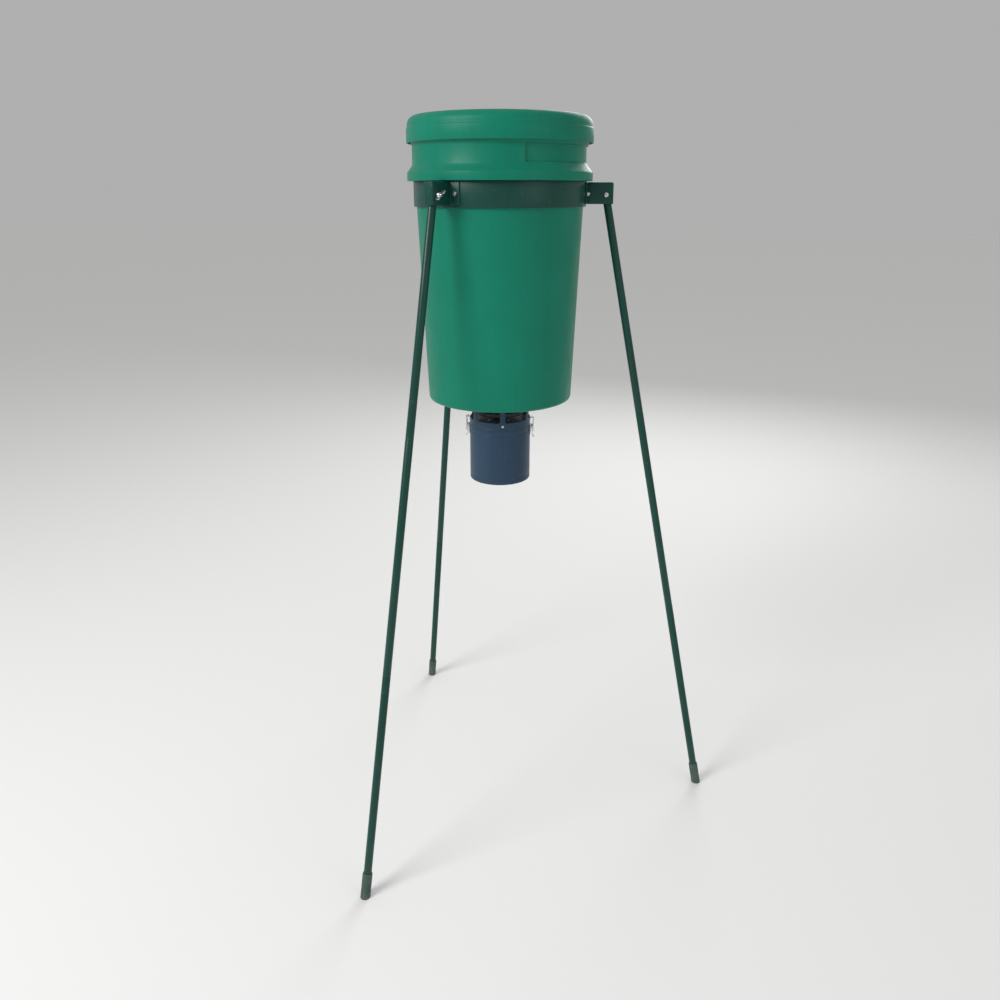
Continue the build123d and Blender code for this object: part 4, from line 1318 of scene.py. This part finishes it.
def digits(screen_low, screen_high):
    """Seven-segment clock digits reading 12:00 on the display's face."""
    bars = {"1": "bc", "2": "abged", "0": "abcdef"}
    shapes = {
        "a": ((0, 2), (1, 2)),
        "b": ((1, 1), (1, 2)),
        "c": ((1, 0), (1, 1)),
        "d": ((0, 0), (1, 0)),
        "e": ((0, 0), (0, 1)),
        "f": ((0, 1), (0, 2)),
        "g": ((0, 1), (1, 1)),
    }
    unit = 4.2 * MM
    thick = 0.55 * MM
    back = screen_low.y + 0.1 * MM
    front = screen_low.y - 0.12 * MM
    middle_x = (screen_low.x + screen_high.x) / 2
    base_z = (screen_low.z + screen_high.z) / 2 - unit
    bm = bmesh.new()
    for place, digit in zip((-13.2, -6.2, 2.2, 9.2), "1200"):
        x = middle_x + place * MM
        for bar in bars[digit]:
            (xa, za), (xb, zb) = shapes[bar]
            grow_x = 0.7 * thick if xa == xb else -1.4 * thick
            grow_z = 0.7 * thick if za == zb else -1.4 * thick
            lows = (x + min(xa, xb) * unit - grow_x, front, base_z + min(za, zb) * unit - grow_z)
            highs = (x + max(xa, xb) * unit + grow_x, back, base_z + max(za, zb) * unit + grow_z)
            add_block(bm, lows, highs)
    for level in (0.7, 1.3):
        z = base_z + level * unit
        add_block(bm, (middle_x - thick, front, z - thick), (middle_x + thick, back, z + thick))
    return bm


def build_battery():
    """Sealed battery: ribbed case, welded lid and a vent strip."""
    lows = low("battery")
    highs = high("battery")
    lid_z = highs.z - 4 * MM
    bm = bmesh.new()
    add_block(bm, tuple(lows), (highs.x, highs.y, lid_z), 1.6 * MM, 4)
    lid_low = (lows.x + MM, lows.y + MM, lid_z - MM)
    add_block(bm, lid_low, (highs.x - MM, highs.y - MM, highs.z), 0.9 * MM, 3)
    for step in range(-4, 5):
        x = (lows.x + highs.x) / 2 + step * 9 * MM
        for side in (lows.y, highs.y):
            rib_low = (x - 0.8 * MM, side - 0.1 * MM, lows.z + 16 * MM)
            rib_high = (x + 0.8 * MM, side + 0.1 * MM, lid_z - 5 * MM)
            add_block(bm, rib_low, rib_high, 0.08 * MM)
    strip_low = (lows.x + 30 * MM, -12 * MM, highs.z - 0.5 * MM)
    strip_high = (highs.x - 30 * MM, 4 * MM, highs.z + 0.4 * MM)
    add_block(bm, strip_low, strip_high, 0.3 * MM)
    return make_piece("battery_block", bm, "battery_case", "can", "battery")


def finish_kept_nodes():
    """Gives every CAD node that stays in view its slot's finish."""
    slots = {part["node"]: part["material_slot"] for part in frame["record"]["subparts"]}
    for name, piece in frame["nodes"].items():
        if piece.hide_render:
            continue
        material = finish_for(slots[name])
        for place in piece.material_slots:
            place.material = material
        if not piece.material_slots:
            piece.data.materials.append(material)


def build_stage():
    settings = bpy.context.scene.feeder_stage
    bm = bmesh.new()
    bmesh.ops.create_grid(bm, x_segments=1, y_segments=1, size=30.0)
    mesh = bpy.data.meshes.new("floor")
    bm.to_mesh(mesh)
    bm.free()
    floor = new_object("floor", mesh)
    floor.location.z = GROUND_Z - 0.0005
    material = bpy.data.materials.new("studio floor")
    material.use_nodes = True
    shader = material.node_tree.nodes["Principled BSDF"]
    shader.inputs["Base Color"].default_value = (*settings.floor, 1.0)
    shader.inputs["Roughness"].default_value = 0.9
    mesh.materials.append(material)

    # The camera sees the sky as bright as the floor far away, so that the two meet without a line.
    world = bpy.data.worlds.new("studio")
    world.use_nodes = True
    tree = world.node_tree
    path = tree.nodes.new("ShaderNodeLightPath")
    seen = spread(tree, path.outputs["Is Camera Ray"], 0.0, 1.0, 1.0, settings.floor[1])
    background = tree.nodes["Background"]
    strength = maths(tree, "MULTIPLY", seen, settings.daylight)
    tree.links.new(strength, background.inputs["Strength"])
    background.inputs["Color"].default_value = (1.0, 1.0, 1.0, 1.0)
    bpy.context.scene.world = world
    bpy.context.scene.view_settings.view_transform = "Standard"
    for name, place, size, power in (
        ("key", (-2.6, -2.4, 2.9), 1.7, 90.0),
        ("fill", (2.8, -2.4, 1.8), 2.4, 10.0),
        ("back", (0.8, 3.0, 2.6), 2.0, 40.0),
    ):
        light = bpy.data.lights.new(name, "AREA")
        light.shape = "DISK"
        light.size = size
        light.energy = power
        lamp = new_object(name, light)
        lamp.location = place
        aim = Vector((AXIS_X, 0, 0.9)) - Vector(place)
        lamp.rotation_euler = aim.to_track_quat("-Z", "Y").to_euler()

    lens = bpy.data.cameras.new("camera")
    lens.lens = settings.lens
    lens.shift_y = settings.lift
    camera = new_object("camera", lens)
    around = settings.azimuth
    camera.location = (
        AXIS_X + sin(around) * settings.distance,
        -cos(around) * settings.distance,
        settings.height,
    )
    ahead = Vector((-sin(around), cos(around), -tan(settings.pitch)))
    camera.rotation_euler = ahead.to_track_quat("-Z", "Y").to_euler()
    bpy.context.scene.camera = camera


# Operators
class FEEDER_OT_hopper(bpy.types.Operator):
    """Build the pail and its lid"""

    bl_idname = "feeder.hopper"
    bl_label = "Hopper and Lid"

    def execute(self, context):
        build_pail()
        build_lid()
        return {"FINISHED"}


class FEEDER_OT_stand(bpy.types.Operator):
    """Build the hoop, its brackets and their pivots"""

    bl_idname = "feeder.stand"
    bl_label = "Hoop and Brackets"

    def execute(self, context):
        build_hoop()
        in_order(build_bracket, angles=LEG_ANGLES)
        build_pivots()
        build_bolts()
        return {"FINISHED"}


class FEEDER_OT_legs(bpy.types.Operator):
    """Build the three sectional legs and their feet"""

    bl_idname = "feeder.legs"
    bl_label = "Legs and Feet"

    def execute(self, context):
        in_order(build_leg_sections, build_foot, angles=LEG_ANGLES)
        return {"FINISHED"}


class FEEDER_OT_unit(bpy.types.Operator):
    """Build the guard shell, the can, the spinner and the motor"""

    bl_idname = "feeder.unit"
    bl_label = "Feeder Unit"

    def execute(self, context):
        build_shell()
        build_can()
        build_spinner()
        build_motor()
        build_screws()
        build_catches()
        return {"FINISHED"}


class FEEDER_OT_latches(bpy.types.Operator):
    """Build the two draw latches"""

    bl_idname = "feeder.latches"
    bl_label = "Draw Latches"

    def execute(self, context):
        in_order(build_latch, wire_loop, angles=LATCH_ANGLES)
        return {"FINISHED"}


class FEEDER_OT_power(bpy.types.Operator):
    """Build the timer and the battery"""

    bl_idname = "feeder.power"
    bl_label = "Timer and Battery"

    def execute(self, context):
        build_timer()
        build_battery()
        return {"FINISHED"}


class FEEDER_OT_finishes(bpy.types.Operator):
    """Give the frame's own parts their finishes"""

    bl_idname = "feeder.finishes"
    bl_label = "Finishes"

    def execute(self, context):
        finish_kept_nodes()
        return {"FINISHED"}


class FEEDER_OT_stage(bpy.types.Operator):
    """Build the floor, the lights and the camera"""

    bl_idname = "feeder.stage"
    bl_label = "Stage"

    def execute(self, context):
        build_stage()
        return {"FINISHED"}


OPERATORS = (
    FEEDER_OT_stage,
    FEEDER_OT_hopper,
    FEEDER_OT_stand,
    FEEDER_OT_legs,
    FEEDER_OT_unit,
    FEEDER_OT_latches,
    FEEDER_OT_power,
    FEEDER_OT_finishes,
)


class FEEDER_PT_panel(bpy.types.Panel):
    """Lists the feeder's settings and the operators that build it"""

    bl_idname = "FEEDER_PT_panel"
    bl_label = "Spin Cast Feeder"
    bl_space_type = "VIEW_3D"
    bl_region_type = "UI"
    bl_category = "Feeder"

    def draw(self, context):
        layout = self.layout
        for operator in OPERATORS:
            layout.operator(operator.bl_idname)
        for name in SETTINGS:
            owner = getattr(context.scene, name)
            box = layout.box()
            for label in owner.bl_rna.properties.keys():
                if label not in ("rna_type", "name"):
                    box.prop(owner, label)


SETTINGS = {
    "feeder_hopper": HopperSettings,
    "feeder_stand": StandSettings,
    "feeder_unit": UnitSettings,
    "feeder_stage": StageSettings,
}


def register():
    for settings in SETTINGS.values():
        bpy.utils.register_class(settings)
    for name, settings in SETTINGS.items():
        setattr(bpy.types.Scene, name, PointerProperty(type=settings))
    for operator in OPERATORS:
        bpy.utils.register_class(operator)
    bpy.utils.register_class(FEEDER_PT_panel)


def unregister():
    bpy.utils.unregister_class(FEEDER_PT_panel)
    for operator in reversed(OPERATORS):
        bpy.utils.unregister_class(operator)
    for name in SETTINGS:
        delattr(bpy.types.Scene, name)
    for settings in reversed(SETTINGS.values()):
        bpy.utils.unregister_class(settings)


def main():
    register()
    bpy.ops.feeder.stage()
    bpy.ops.feeder.hopper()
    bpy.ops.feeder.stand()
    bpy.ops.feeder.legs()
    bpy.ops.feeder.unit()
    bpy.ops.feeder.latches()
    bpy.ops.feeder.power()
    bpy.ops.feeder.finishes()


if __name__ == "__main__":
    main()
